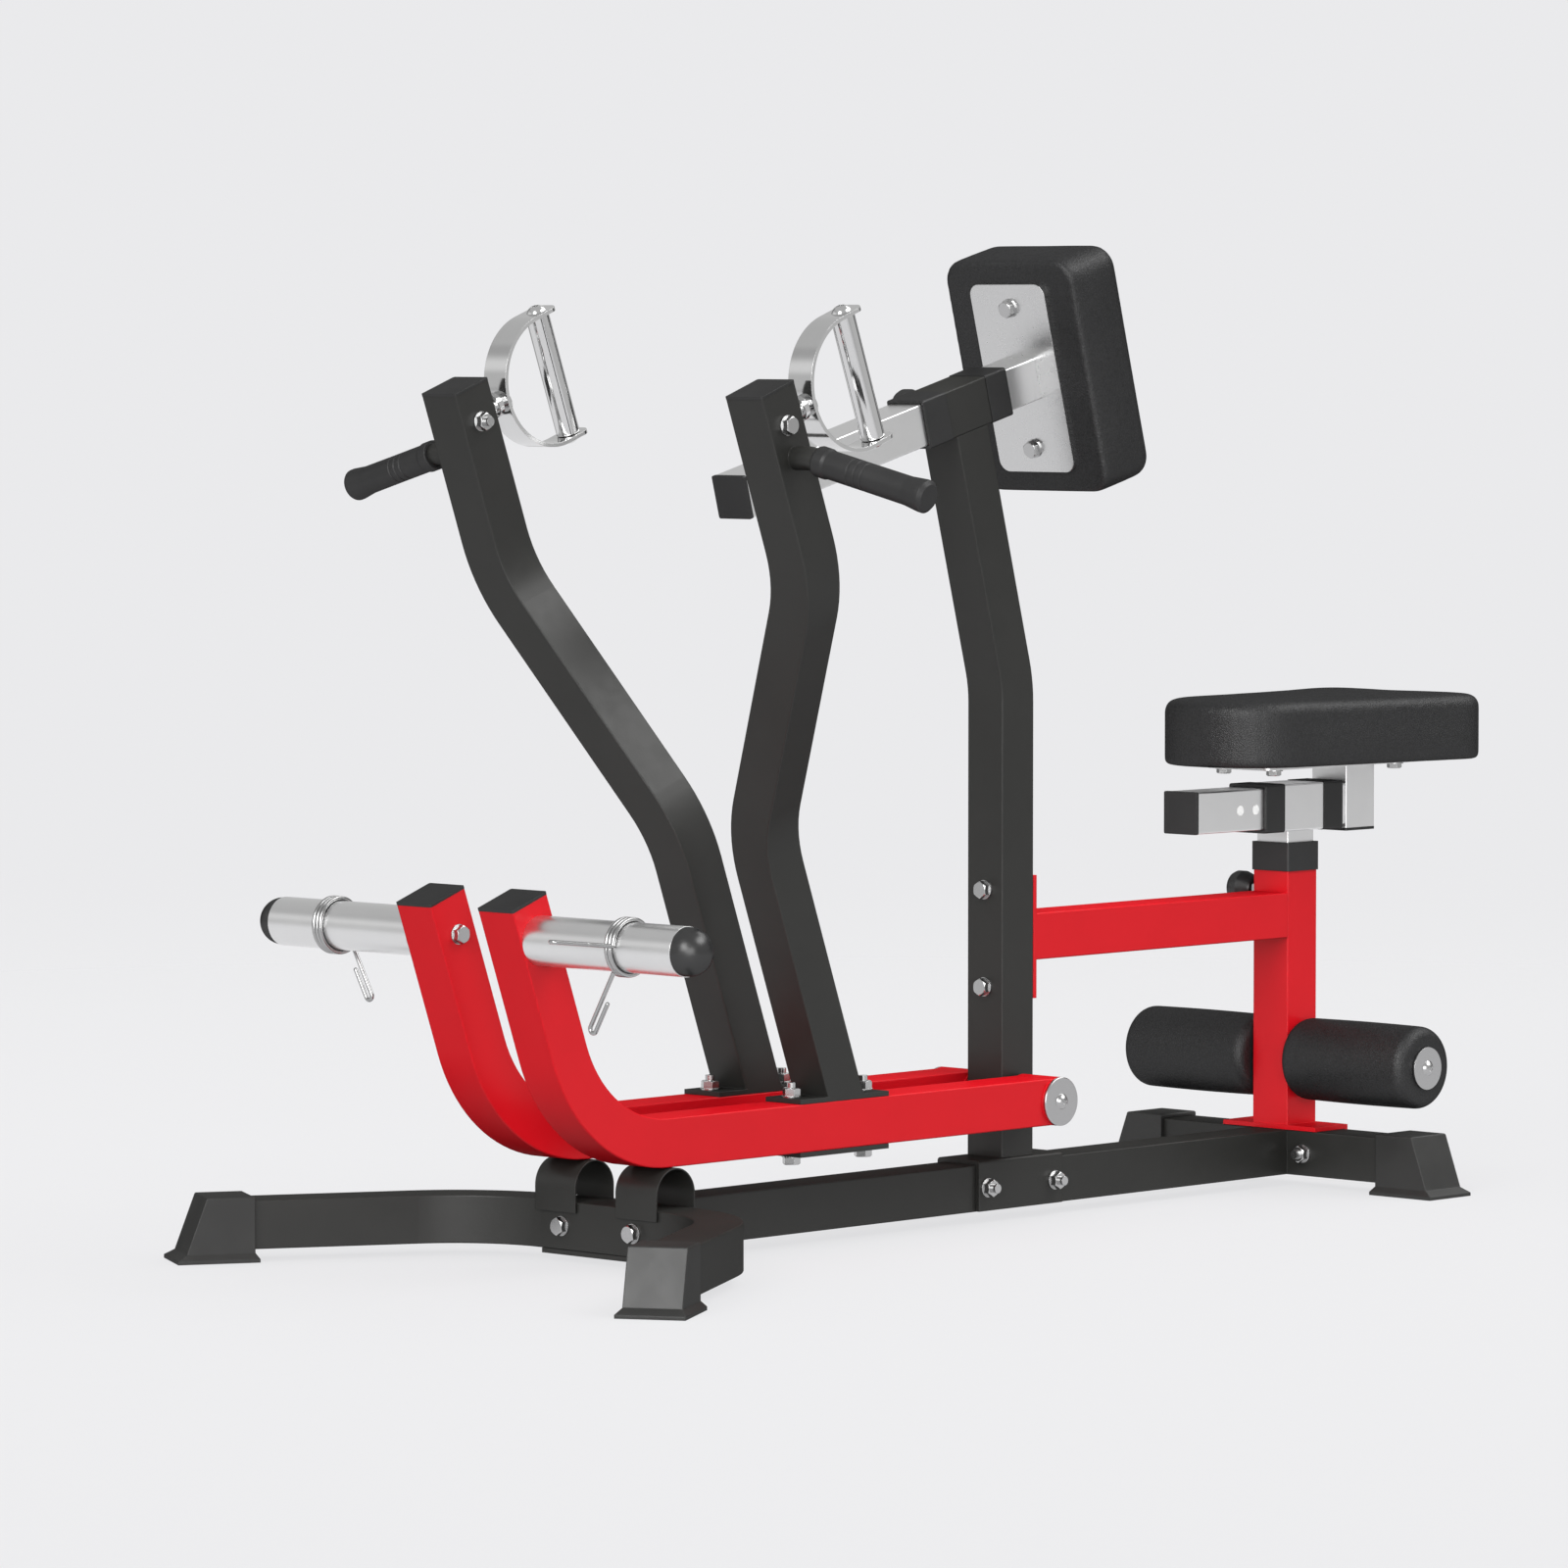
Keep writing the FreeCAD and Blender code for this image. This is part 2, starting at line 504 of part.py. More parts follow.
for k in (3, 4):
    x = 473.5 - PITCH * k
    slider = slider.cut(cyl(V(x, -30, SEAT_Z), Y, PLUG_R, 20))
    plugs.append(cyl(V(x, -SEAT_SLIDE / 2, SEAT_Z), Y, PLUG_R, SLIDE_WALL))
parts["seat_hole_plugs"] = comp(plugs)
parts["seat_slide_tube"] = slider
SEAT_PLATE_Z = SEAT_PAD_Z0 - PLATE
upr = straight(V((UP_X0 + UP_X1) / 2, 0, 393.0), V((UP_X0 + UP_X1) / 2, 0, SEAT_PLATE_Z), X, TUBE, t=WALL, r=2.0)
SBX, SBY = (409.5, 619.0), 36.0
sp = solid_bar(V(514.5, 0, SEAT_PLATE_Z), V(514.5, 0, SEAT_PAD_Z0), X, 252.0, 92.0, 10.0)
for x in SBX:
    for sy in (-1, 1):
        sp = sp.cut(cyl(V(x, sy * SBY, SEAT_PLATE_Z - 5), Z, 5.2, 20))
parts["seat_bracket"] = upr.fuse(sp).removeSplitter()
c1 = solid_bar(V(293.5, 0, SEAT_Z), V(297.5, 0, SEAT_Z), Y, 46.8, 46.8, 2.2)
i1 = straight(V(297.5, 0, SEAT_Z), V(317.5, 0, SEAT_Z), Y, SEAT_SLIDE - 2 * SLIDE_WALL, t=2.0, r=1.5)
c2 = solid_bar(V(573, 0, 390.0), V(573, 0, 393.0), X, 50.6, 50.6, 2.2)
i2 = straight(V(573, 0, 393.0), V(573, 0, 411.0), X, TUBE - 2 * WALL, t=2.0, r=1.5)
parts["seat_tube_caps"] = comp([c1.fuse(i1).removeSplitter(), c2.fuse(i2).removeSplitter()])
sf = []
for x in SBX:
    for sy in (-1, 1):
        sf.append(bolt(V(x, sy * SBY, SEAT_PLATE_Z), V(0, 0, -1), 24.0, dia=10.0, af=14.5, head=5.4, nut=False, washer=1.2))
parts["seat_fasteners"] = comp(sf)

# seat cushion outline: wide square rear, narrow round front
RW, FW, RF, RR = 124.3, 80.9, 83.3, 39.0


def seat_outline(z):
    def corner(prev, p, nxt, r):
        a = (prev - p); a.normalize()
        b = (nxt - p); b.normalize()
        ang = a.getAngle(b)
        t = r / math.tan(ang / 2)
        bis = a + b
        bis.normalize()
        c = p + bis * (r / math.sin(ang / 2))
        return p + a * t, c - bis * r, p + b * t
    pts = [V(SEAT_X0, -FW, z), V(SEAT_X1, -RW, z), V(SEAT_X1, RW, z), V(SEAT_X0, FW, z)]
    rs = [RF, RR, RR, RF]
    arcs = []
    for i in range(4):
        arcs.append(corner(pts[i - 1], pts[i], pts[(i + 1) % 4], rs[i]))
    e = []
    for i in range(4):
        e.append(Part.Arc(*arcs[i]).toShape())
        e.append(Part.makeLine(arcs[i][2], arcs[(i + 1) % 4][0]))
    return Part.Wire(Part.__sortEdges__(e))


sp = Part.Face(seat_outline(SEAT_PAD_Z0)).extrude(V(0, 0, SEAT_PAD_Z1 - SEAT_PAD_Z0))
sp = sp.makeFillet(13.0, facing(sp, Z, V(0, 0, SEAT_PAD_Z1)))
sp = sp.makeFillet(6.0, facing(sp, Z, V(0, 0, SEAT_PAD_Z0)))
for x in SBX:
    for sy in (-1, 1):
        sp = sp.cut(cyl(V(x, sy * SBY, SEAT_PAD_Z0 - 1), Z, 5.2, 22))
parts["seat_pad"] = sp

# ------------------------------------------------------------ leg rollers
rl = cyl(V(CROSS_X, -ROLLER_Y1, ROLLER_Z), Y, ROLLER_R, ROLLER_Y1 - ROLLER_Y0)
rl = rl.makeFillet(13.0, [e for e in rl.Edges if e.Curve.TypeId == "Part::GeomCircle"])
rl = rl.cut(cyl(V(CROSS_X, -ROLLER_Y1 - 1, ROLLER_Z), Y, SHAFT_R + 0.08, ROLLER_Y1 - ROLLER_Y0 + 2))
parts["roller_left"] = rl
parts["roller_right"] = mirror(rl)

# ------------------------------------------------------------ lever arm (left, then mirrored)
ca, sa = math.cos(rad(ARM_LEAN)), math.sin(rad(ARM_LEAN))
cu, su = math.cos(rad(UP_LEAN)), math.sin(rad(UP_LEAN))
UD = V(-su, 0, cu)        # up along the upper arm
ND = V(cu, 0, su)         # rearward across the upper arm
arm = {}
jc = V(ARM_CORNER_X, -ARM_Y, PIVOT_Z)
jt = jc + V(-sa, 0, ca) * (ARM_UP - 3.0)
lower = bent([V(0, -ARM_Y, PIVOT_Z), jc, jt], [ARM_R], Y, TUBE)
bushing = cyl(V(0, -BUSH_OUT, PIVOT_Z), Y, 26.0, BUSH_OUT - 32.0)
lower = lower.cut(cyl(V(0, -90, PIVOT_Z), Y, 24.0, 70)).fuse(bushing).removeSplitter()
lower = lower.cut(cyl(V(0, -90, PIVOT_Z), Y, PIVOT_R + 0.06, 70))
for sx in (-1, 1):
    lower = lower.cut(cyl(V(ARM_PLATE_X + sx * ARM_BOLT, -ARM_Y, PIVOT_Z - 40), Z, HOLE, 80))
lower = lower.cut(cyl(V(SLEEVE_X, -90, SLEEVE_Z), Y, HOLE, 70))
arm["arm_lower"] = lower


UP0 = V(UP_X, 0, 160.0)


def upp(y, s, n=0.0):
    return UP0 + V(0, -y, 0) + UD * s + ND * n


upper = bent([upp(ARM_Y, -30), upp(ARM_Y, UP_S1), upp(UP_Y, UP_S2), upp(UP_Y, UP_TOP - 3.0)],
             [BEND_R, BEND_R], ND, TUBE)
ZP = PIVOT_Z + HALF + PLATE
upper = upper.cut(box(-600, 0, -150, 0, 0, ZP))
plate = box(ARM_PLATE_X - ARM_PLATE_HALF, ARM_PLATE_X + ARM_PLATE_HALF, -ARM_Y - HALF, -ARM_Y + HALF, ZP - PLATE, ZP)
upper = upper.fuse(plate).removeSplitter()
for sx in (-1, 1):
    upper = upper.cut(cyl(V(ARM_PLATE_X + sx * ARM_BOLT, -ARM_Y, ZP - 20), Z, HOLE, 40))
# side handle stub, welded to the outer face
SH_S, SH_N, SH_R, SH_ANG = 706.0, 1.0, 12.0, 15.0
outer_y = UP_Y + HALF
h0 = upp(outer_y - 0.0, SH_S, SH_N)
h1 = upp(outer_y + 20.0, SH_S, SH_N)
hd = V(0, -math.cos(rad(SH_ANG)), 0) - UD * math.sin(rad(SH_ANG))
h2 = h1 + hd * (147.0 / math.cos(rad(SH_ANG)) - 4.0)
d1 = V(0, -1, 0)
tl = 40.0 * math.tan(rad(SH_ANG) / 2)
pa, pb = h1 - d1 * tl, h1 + hd * tl
circ = Part.Face(Part.Wire(Part.makeCircle(SH_R, h0, d1)))
seg1 = circ.extrude(pa - h0)
axis = d1.cross(hd); axis.normalize()
cen = pa + axis.cross(d1) * 40.0
seg2 = Part.Face(Part.Wire(Part.makeCircle(SH_R, pa, d1))).revolve(cen, axis, SH_ANG)
seg3 = cyl(pb, hd, SH_R, (h2 - pb).Length)
stub = seg1.multiFuse([seg2, seg3]).removeSplitter()
upper = upper.fuse(stub).removeSplitter()
DS = 741.0                # swivel stud height along the arm
upper = upper.cut(cyl(upp(UP_Y - 40, DS), V(0, -1, 0), HOLE, 80))
upper = upper.cut(cyl(upp(UP_Y, DS, 15.0), ND, 10.4, 20))
arm["arm_upper"] = upper
# rubber grip on the side handle: collar, grooved barrel, flared end
g0 = (pb - h1).Length + 6.0
gl = (h2 - h1).Length + 4.0 - g0
prof = [(SH_R, 0), (15.2, 0), (15.8, 1.6), (15.8, 12.0), (14.6, 15.5),
        (14.6, 44.0), (13.8, 44.6), (13.8, 46.4), (14.6, 47.0),
        (14.6, 53.0), (13.8, 53.6), (13.8, 55.4), (14.6, 56.0),
        (14.6, 62.0), (13.8, 62.6), (13.8, 64.4), (14.6, 65.0),
        (14.8, gl - 26), (16.8, gl - 8), (16.8, gl - 3.5), (13.0, gl), (0, gl), (0, gl - 4.0), (SH_R, gl - 4.0)]
w = Part.makePolygon([V(r_, 0, h) for r_, h in prof] + [V(prof[0][0], 0, prof[0][1])])
grip = Part.Face(w).revolve(V(0, 0, 0), V(0, 0, 1), 360)
grip.transformShape(mat(h1 + hd * g0, hd, ND), True)
arm["side_grip"] = grip

# black end caps of both arm tubes
jd = V(-sa, 0, ca)
k1 = solid_bar(jt, jt + jd * 3.0, Y, TUBE + 0.6, TUBE + 0.6, 2.2)
k1i = straight(jt - jd * 18.0, jt, Y, TUBE - 2 * WALL, t=2.0, r=1.5)
ut = upp(UP_Y, UP_TOP - 3.0)
k2 = solid_bar(ut, ut + UD * 3.0, Y, TUBE + 0.6, TUBE + 0.6, 2.2)
k2i = straight(ut - UD * 10.0, ut, Y, TUBE - 2 * WALL, t=2.0, r=1.5)
arm["arm_caps"] = comp([k1.fuse(k1i).removeSplitter(), k2.fuse(k2i).removeSplitter()])
cpz = PIVOT_Z - HALF
clamp = box(ARM_PLATE_X - ARM_PLATE_HALF, ARM_PLATE_X + ARM_PLATE_HALF, -ARM_Y - HALF, -ARM_Y + HALF, cpz - PLATE, cpz)
for sx in (-1, 1):
    clamp = clamp.cut(cyl(V(ARM_PLATE_X + sx * ARM_BOLT, -ARM_Y, cpz - 20), Z, HOLE, 40))
arm["arm_clamp_plate"] = clamp

# weight sleeve with its domed end cap
ws = ring(V(SLEEVE_X, -ARM_Y - HALF, SLEEVE_Z), V(0, -1, 0), SLEEVE_R, SLEEVE_R - 3.0, SLEEVE_END - ARM_Y - HALF)
wb = ring(V(SLEEVE_X, -ARM_Y - HALF, SLEEVE_Z), V(0, -1, 0), SLEEVE_R - 3.0, BOLT_D / 2, 12.0)
arm["weight_sleeve"] = ws.fuse(wb).removeSplitter()
dr = SLEEVE_R - 0.8
cc = V(SLEEVE_X, -SLEEVE_END - 3.0, SLEEVE_Z)
dome = Part.makeSphere(dr, cc).common(cyl(cc, V(0, -1, 0), dr + 1, dr + 1))
dome = dome.fuse(cyl(V(SLEEVE_X, -SLEEVE_END, SLEEVE_Z), V(0, -1, 0), dr, 3.0))
dome = dome.fuse(ring(V(SLEEVE_X, -SLEEVE_END + 16.0, SLEEVE_Z), V(0, -1, 0), SLEEVE_R - 3.0, SLEEVE_R - 6.0, 16.0))
arm["sleeve_cap"] = dome.removeSplitter()

# fasteners of one arm
af = []
for sx in (-1, 1):
    af.append(bolt(V(ARM_PLATE_X + sx * ARM_BOLT, -ARM_Y, cpz - PLATE), V(0, 0, -1), TUBE + 2 * PLATE))
af.append(bolt(V(SLEEVE_X, -ARM_Y + HALF, SLEEVE_Z), V(0, 1, 0), TUBE + 12.0, nut=False, washer=1.2))
af.append(bolt(upp(outer_y, DS), V(0, -1, 0), TUBE, washer=1.2))
arm["arm_bolts"] = comp(af)

# swivelling D handle: stud, strap and rolling grip
DN0, DN1 = 52.0, 137.5   # back of the strap and the grip, behind the arm's middle
DEND = 156.0             # free ends of the strap
DH = 70.0                # half height of the strap (to its outer face)
ST = 4.0
stud = [cyl(upp(UP_Y, DS, HALF - 8.0), ND, 10.0, 8.5),
        cyl(upp(UP_Y, DS, HALF + 0.5), ND, 13.0, 11.5),
        cyl(upp(UP_Y, DS, HALF + 12.0), ND, 9.0, 5.0),
        cyl(upp(UP_Y, DS, HALF + 17.0), ND, 13.5, 6.0),
        cyl(upp(UP_Y, DS, HALF + 23.0), ND, 8.0, DN0 - HALF - 23.0 + ST + 0.5)]
stud.append(cyl(upp(UP_Y, DS, DN0 + ST), ND, 14.5, 3.0))
stud.append(button_head(upp(UP_Y, DS, DN0 + ST + 3.0), ND, 12.5, 7.0))
cenN = DN0 + DH


def strap_face(r, x_end):
    """Half ring opening rearwards with straight ends, in the arm's side plane."""
    p = lambda n, s: upp(UP_Y, DS + s, n)
    return Part.Face(Part.Wire([
        Part.makeLine(p(x_end, -r), p(cenN, -r)),
        Part.Arc(p(cenN, -r), p(cenN - r, 0), p(cenN, r)).toShape(),
        Part.makeLine(p(cenN, r), p(x_end, r)),
        Part.makeLine(p(x_end, r), p(x_end, -r))]))


SW = 31.6
outer_s = strap_face(DH, DEND).extrude(V(0, SW, 0))
inner_s = strap_face(DH - ST, DEND + 16.5).extrude(V(0, SW, 0))
strap = outer_s.cut(inner_s)
strap.translate(V(0, -SW / 2, 0))
pe = [e for e in strap.Edges if abs(abs(e.Length) - ST) < 0.01 and abs(((e.Vertexes[0].Point - UP0).dot(ND)) - DEND) < 0.01]
strap = strap.makeFillet(11.0, pe)
rod = cyl(upp(UP_Y, DS - DH + ST, DN1), UD, 5.0, 2 * (DH - ST))
heads = [button_head(upp(UP_Y, DS + DH, DN1), UD, 10.5, 6.4), button_head(upp(UP_Y, DS - DH, DN1), UD * -1, 10.5, 6.4)]
hoop = strap.multiFuse(stud + [rod] + heads).removeSplitter()
arm["dhandle_strap"] = hoop
GL = 2 * (DH - ST) - 1.0
GRIP_R = 12.4
dg = ring(upp(UP_Y, DS - GL / 2, DN1), UD, GRIP_R, 5.08, GL)
dg = dg.makeFillet(1.0, [e for e in dg.Edges if e.Curve.TypeId == "Part::GeomCircle" and abs(e.Curve.Radius - GRIP_R) < 0.01])
arm["dhandle_grip"] = dg


# spring clip on the weight sleeve: close coils and two hairpin handles
def clip(start, drop):
    """Coil about local +Z (outward along the sleeve); local +X points down.

    start is the angle at which the lower handle leaves the coil, drop its
    length. The other handle stands out level, 264 degrees round the coil.
    """
    rc = SLEEVE_R + 0.35 + WIRE / 2
    pitch = WIRE + 0.25
    turns = 2.0 + (264.0 + start) / 360.0
    helix = Part.makeHelix(pitch, pitch * turns, rc)
    prof_ = Part.Wire(Part.makeCircle(WIRE / 2, V(rc, 0, 0), V(0, 1, 0)))
    coil = Part.Wire(helix.Edges).makePipeShell([prof_], True, True)
    coil.rotate(V(0, 0, 0), V(0, 0, 1), -start)

    def hairpin(p, d, back, length, home):
        """From p outward along d, then a U turn towards back and part of the way home."""
        d = V(d); d.normalize()
        b = V(back); b = b - d * b.dot(d); b.normalize()
        u = 4.2
        o = [Part.makeSphere(WIRE / 2, p), cyl(p, d, WIRE / 2, length)]
        q = p + d * length
        f = Part.Face(Part.Wire(Part.makeCircle(WIRE / 2, q, d)))
        o.append(f.revolve(q + b * u, d.cross(b), 180))
        q2 = q + b * 2 * u
        o.append(cyl(q2 - d * home, d, WIRE / 2, home))
        o.append(Part.makeSphere(WIRE / 2, q2 - d * home))
        return o
    tilt = rad(30.0)
    a = rad(-start)
    b = rad(264.0)
    h1_ = hairpin(V(rc * math.cos(a), rc * math.sin(a), 0), V(math.cos(tilt), 0, -math.sin(tilt)), V(0, 0, 1), drop, 32.0)
    h2_ = hairpin(V(rc * math.cos(b), rc * math.sin(b), pitch * turns),
                  V(math.cos(b) * math.cos(tilt), math.sin(b) * math.cos(tilt), -math.sin(tilt)), V(0, 0, 1), 60.0, 32.0)
    s = coil.multiFuse(h1_ + h2_)
    s = s.removeSplitter()
    s.translate(V(0, 0, -pitch * turns / 2))
    return s


cl_left = clip(28.0, 64.0)
cl_left.transformShape(mat(V(SLEEVE_X, -COIL_Y + 2.4, SLEEVE_Z), V(0, -1, 0), V(0, 0, -1)), True)
cl_right = clip(36.0, 54.5)
cl_right.transformShape(mat(V(SLEEVE_X, COIL_Y + 2.8, SLEEVE_Z), V(0, 1, 0), V(0, 0, -1)), True)

for k, s in arm.items():
    parts[k + "_left"] = s
    parts[k + "_right"] = mirror(s)
parts["spring_clip_left"] = cl_left
parts["spring_clip_right"] = cl_right

# ------------------------------------------------------------ write
for name, shape in parts.items():
    s = shape.copy()
    s.translate(V(SHIFT_X, 0, 0))
    s.exportStep("parts/" + name + ".step")
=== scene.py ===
import bpy
import bmesh
import math
from mathutils import Matrix, Vector, noise


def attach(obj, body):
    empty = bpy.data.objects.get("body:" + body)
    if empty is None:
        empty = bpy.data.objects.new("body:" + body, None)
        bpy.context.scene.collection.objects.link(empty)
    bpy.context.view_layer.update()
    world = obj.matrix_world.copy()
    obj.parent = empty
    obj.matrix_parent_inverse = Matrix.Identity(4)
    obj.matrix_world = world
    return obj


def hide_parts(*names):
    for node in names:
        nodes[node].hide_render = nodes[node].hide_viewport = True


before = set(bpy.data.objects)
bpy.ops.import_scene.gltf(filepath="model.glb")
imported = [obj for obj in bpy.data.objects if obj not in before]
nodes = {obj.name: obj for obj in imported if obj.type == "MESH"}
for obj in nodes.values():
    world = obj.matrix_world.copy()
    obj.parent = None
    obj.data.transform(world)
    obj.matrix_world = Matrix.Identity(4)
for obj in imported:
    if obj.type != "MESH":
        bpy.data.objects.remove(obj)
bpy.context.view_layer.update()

scene = bpy.context.scene
scene.view_settings.view_transform = "Standard"
scene.view_settings.look = "None"

# The seated row machine in metres: +Z up, the seat towards +X, the machine's
# left side towards -Y. Bolts, tubes, plates and levers are the CAD nodes with
# finished materials; the upholstery is built here.


# ------------------------------------------------------------------ node tools
class Nodes:
    """Short-hand for building a shader tree."""

    def __init__(self, tree):
        self.tree = tree

    def new(self, kind, **values):
        n = self.tree.nodes.new(kind)
        for k, v in values.items():
            setattr(n, k, v)
        return n

    def link(self, a, b):
        self.tree.links.new(a, b)

    def put(self, socket, value):
        if isinstance(value, bpy.types.NodeSocket):
            self.link(value, socket)
        elif value is not None:
            socket.default_value = value

    def math(self, op, a, b=None, c=None, clamp=False):
        n = self.new("ShaderNodeMath", operation=op, use_clamp=clamp)
        for i, v in enumerate((a, b, c)):
            if v is not None:
                self.put(n.inputs[i], v)
        return n.outputs[0]

    def vec(self, op, a, b=None, scale=None):
        n = self.new("ShaderNodeVectorMath", operation=op)
        self.put(n.inputs[0], a)
        if b is not None:
            self.put(n.inputs[1], b)
        if scale is not None:
            self.put(n.inputs["Scale"], scale)
        return n.outputs["Value"] if op in ("DOT_PRODUCT", "LENGTH") else n.outputs["Vector"]

    def span(self, value, a, b, lo=0.0, hi=1.0, smooth=True):
        n = self.new("ShaderNodeMapRange")
        n.interpolation_type = "SMOOTHSTEP" if smooth else "LINEAR"
        n.clamp = True
        self.put(n.inputs["Value"], value)
        n.inputs["From Min"].default_value = a
        n.inputs["From Max"].default_value = b
        n.inputs["To Min"].default_value = lo
        n.inputs["To Max"].default_value = hi
        return n.outputs["Result"]

    def place(self):
        return self.new("ShaderNodeTexCoord").outputs["Object"]

    def stretch(self, vector, scale):
        n = self.new("ShaderNodeMapping")
        n.inputs["Scale"].default_value = scale
        self.link(vector, n.inputs["Vector"])
        return n.outputs["Vector"]

    def noise(self, vector, scale, detail=2.0, rough=0.5, warp=0.0):
        n = self.new("ShaderNodeTexNoise")
        self.link(vector, n.inputs["Vector"])
        n.inputs["Scale"].default_value = scale
        n.inputs["Detail"].default_value = detail
        n.inputs["Roughness"].default_value = rough
        n.inputs["Distortion"].default_value = warp
        return n.outputs["Fac"]

    def mix(self, fac, a, b):
        n = self.new("ShaderNodeMix", data_type="RGBA")
        self.put(n.inputs[0], fac)
        self.put(n.inputs[6], a)
        self.put(n.inputs[7], b)
        return n.outputs[2]

    def bump(self, height, distance, strength=1.0, normal=None):
        n = self.new("ShaderNodeBump")
        n.inputs["Strength"].default_value = strength
        n.inputs["Distance"].default_value = distance
        self.link(height, n.inputs["Height"])
        if normal is not None:
            self.link(normal, n.inputs["Normal"])
        return n.outputs["Normal"]

    def rounded(self, radius, samples=6):
        n = self.new("ShaderNodeBevel", samples=samples)
        n.inputs["Radius"].default_value = radius
        return n.outputs["Normal"]


def material(name):
    m = bpy.data.materials.new(name)
    m.use_nodes = True
    t = m.node_tree
    t.nodes.clear()
    g = Nodes(t)
    out = g.new("ShaderNodeOutputMaterial")
    p = g.new("ShaderNodeBsdfPrincipled")
    g.link(p.outputs[0], out.inputs["Surface"])
    return m, g, p


def rgb(r, g, b):
    return (r, g, b, 1.0)


def glaze(g, p, share, rough, normal):
    """Lay an even share of gloss over the matt Principled base."""
    p.inputs["Specular IOR Level"].default_value = 0.0
    shine = g.new("ShaderNodeBsdfGlossy")
    shine.inputs["Color"].default_value = rgb(1.0, 1.0, 1.0)
    g.put(shine.inputs["Roughness"], rough)
    g.link(normal, shine.inputs["Normal"])
    g.link(normal, p.inputs["Normal"])
    g.put(p.inputs["Roughness"], 0.6)
    both = g.new("ShaderNodeMixShader")
    both.inputs[0].default_value = share
    g.link(p.outputs[0], both.inputs[1])
    g.link(shine.outputs[0], both.inputs[2])
    out = [n for n in g.tree.nodes if n.type == "OUTPUT_MATERIAL"][0]
    g.link(both.outputs[0], out.inputs["Surface"])


def painted(name, base, dark, rough, share, peel, edge=0.0009):
    """Powder coat: orange peel, slight variation in tone, softened edges."""
    m, g, p = material(name)
    at = g.place()
    tone = g.span(g.noise(at, 9.0, 3.0, 0.6), 0.3, 0.7)
    g.put(p.inputs["Base Color"], g.mix(tone, rgb(*dark), rgb(*base)))
    fine = g.noise(at, 900.0, 2.0, 0.6)
    r = g.span(g.noise(at, 60.0, 3.0, 0.6), 0.25, 0.75, rough - 0.035, rough + 0.035)
    n = g.rounded(edge)
    n = g.bump(g.noise(at, 330.0, 1.5, 0.45), 0.00010, peel, n)
    n = g.bump(fine, 0.00003, peel * 0.6, n)
    glaze(g, p, share, r, n)
    return m


def steel(name, tone, rough, along, edge=0.0007, grain=0.35):
    """Satin plated tube with a faint drawn grain along its axis."""
    m, g, p = material(name)
    at = g.place()
    across = [1400.0 if a == 0 else 18.0 for a in along]
    if sum(1 for a in along if a) != 1:
        lean = math.radians(15.0)
        n_ = g.new("ShaderNodeVectorRotate", rotation_type="Y_AXIS")
        g.link(at, n_.inputs["Vector"])
        n_.inputs["Angle"].default_value = lean
        line = g.stretch(n_.outputs[0], (18.0, 1400.0, 1400.0))
    else:
        line = g.stretch(at, across)
    streak = g.noise(line, 1.0, 3.0, 0.6)
    cloud = g.noise(at, 35.0, 3.0, 0.6)
    g.put(p.inputs["Base Color"], g.mix(g.span(cloud, 0.3, 0.7), rgb(*(c * 0.985 for c in tone)), rgb(*tone)))
    p.inputs["Metallic"].default_value = 1.0
    r = g.math("ADD", g.span(streak, 0.2, 0.8, rough - 0.05 * grain, rough + 0.05 * grain),
               g.span(cloud, 0.3, 0.7, -0.008, 0.008))
    g.put(p.inputs["Roughness"], r)
    n = g.rounded(edge)
    n = g.bump(streak, 0.00002, 0.35 * grain, n)
    g.link(n, p.inputs["Normal"])
    return m


def polished(name, tone, rough, edge=0.0004):
    """Bright plate with hairline polishing marks."""
    m, g, p = material(name)
    at = g.place()
    marks = g.noise(g.stretch(at, (300.0, 2600.0, 300.0)), 1.0, 2.0, 0.7)
    haze = g.noise(at, 90.0, 3.0, 0.65)
    g.put(p.inputs["Base Color"], g.mix(g.span(haze, 0.35, 0.7), rgb(*(c * 0.985 for c in tone)), rgb(*tone)))
    p.inputs["Metallic"].default_value = 1.0
    g.put(p.inputs["Roughness"], g.math("ADD", g.span(haze, 0.3, 0.7, rough * 0.93, rough * 1.07),
                                        g.span(marks, 0.45, 0.8, 0.0, 0.015)))
    n = g.rounded(edge)
    n = g.bump(marks, 0.000004, 0.12, n)
    g.link(n, p.inputs["Normal"])
    return m


def moulded(name, tone, rough, texture, scale, share=0.04, edge=0.0008, depth=0.00008):
    """Injection moulded plastic or rubber with a spark-eroded texture."""
    m, g, p = material(name)
    at = g.place()
    soft = g.noise(at, 22.0, 3.0, 0.6)
    g.put(p.inputs["Base Color"], g.mix(g.span(soft, 0.3, 0.7), rgb(*(c * 0.88 for c in tone)), rgb(*tone)))
    grain = g.noise(at, scale, 3.0, 0.7)
    n = g.rounded(edge)
    n = g.bump(grain, depth, texture, n)
    glaze(g, p, share, g.span(soft, 0.3, 0.7, rough - 0.04, rough + 0.04), n)
    return m


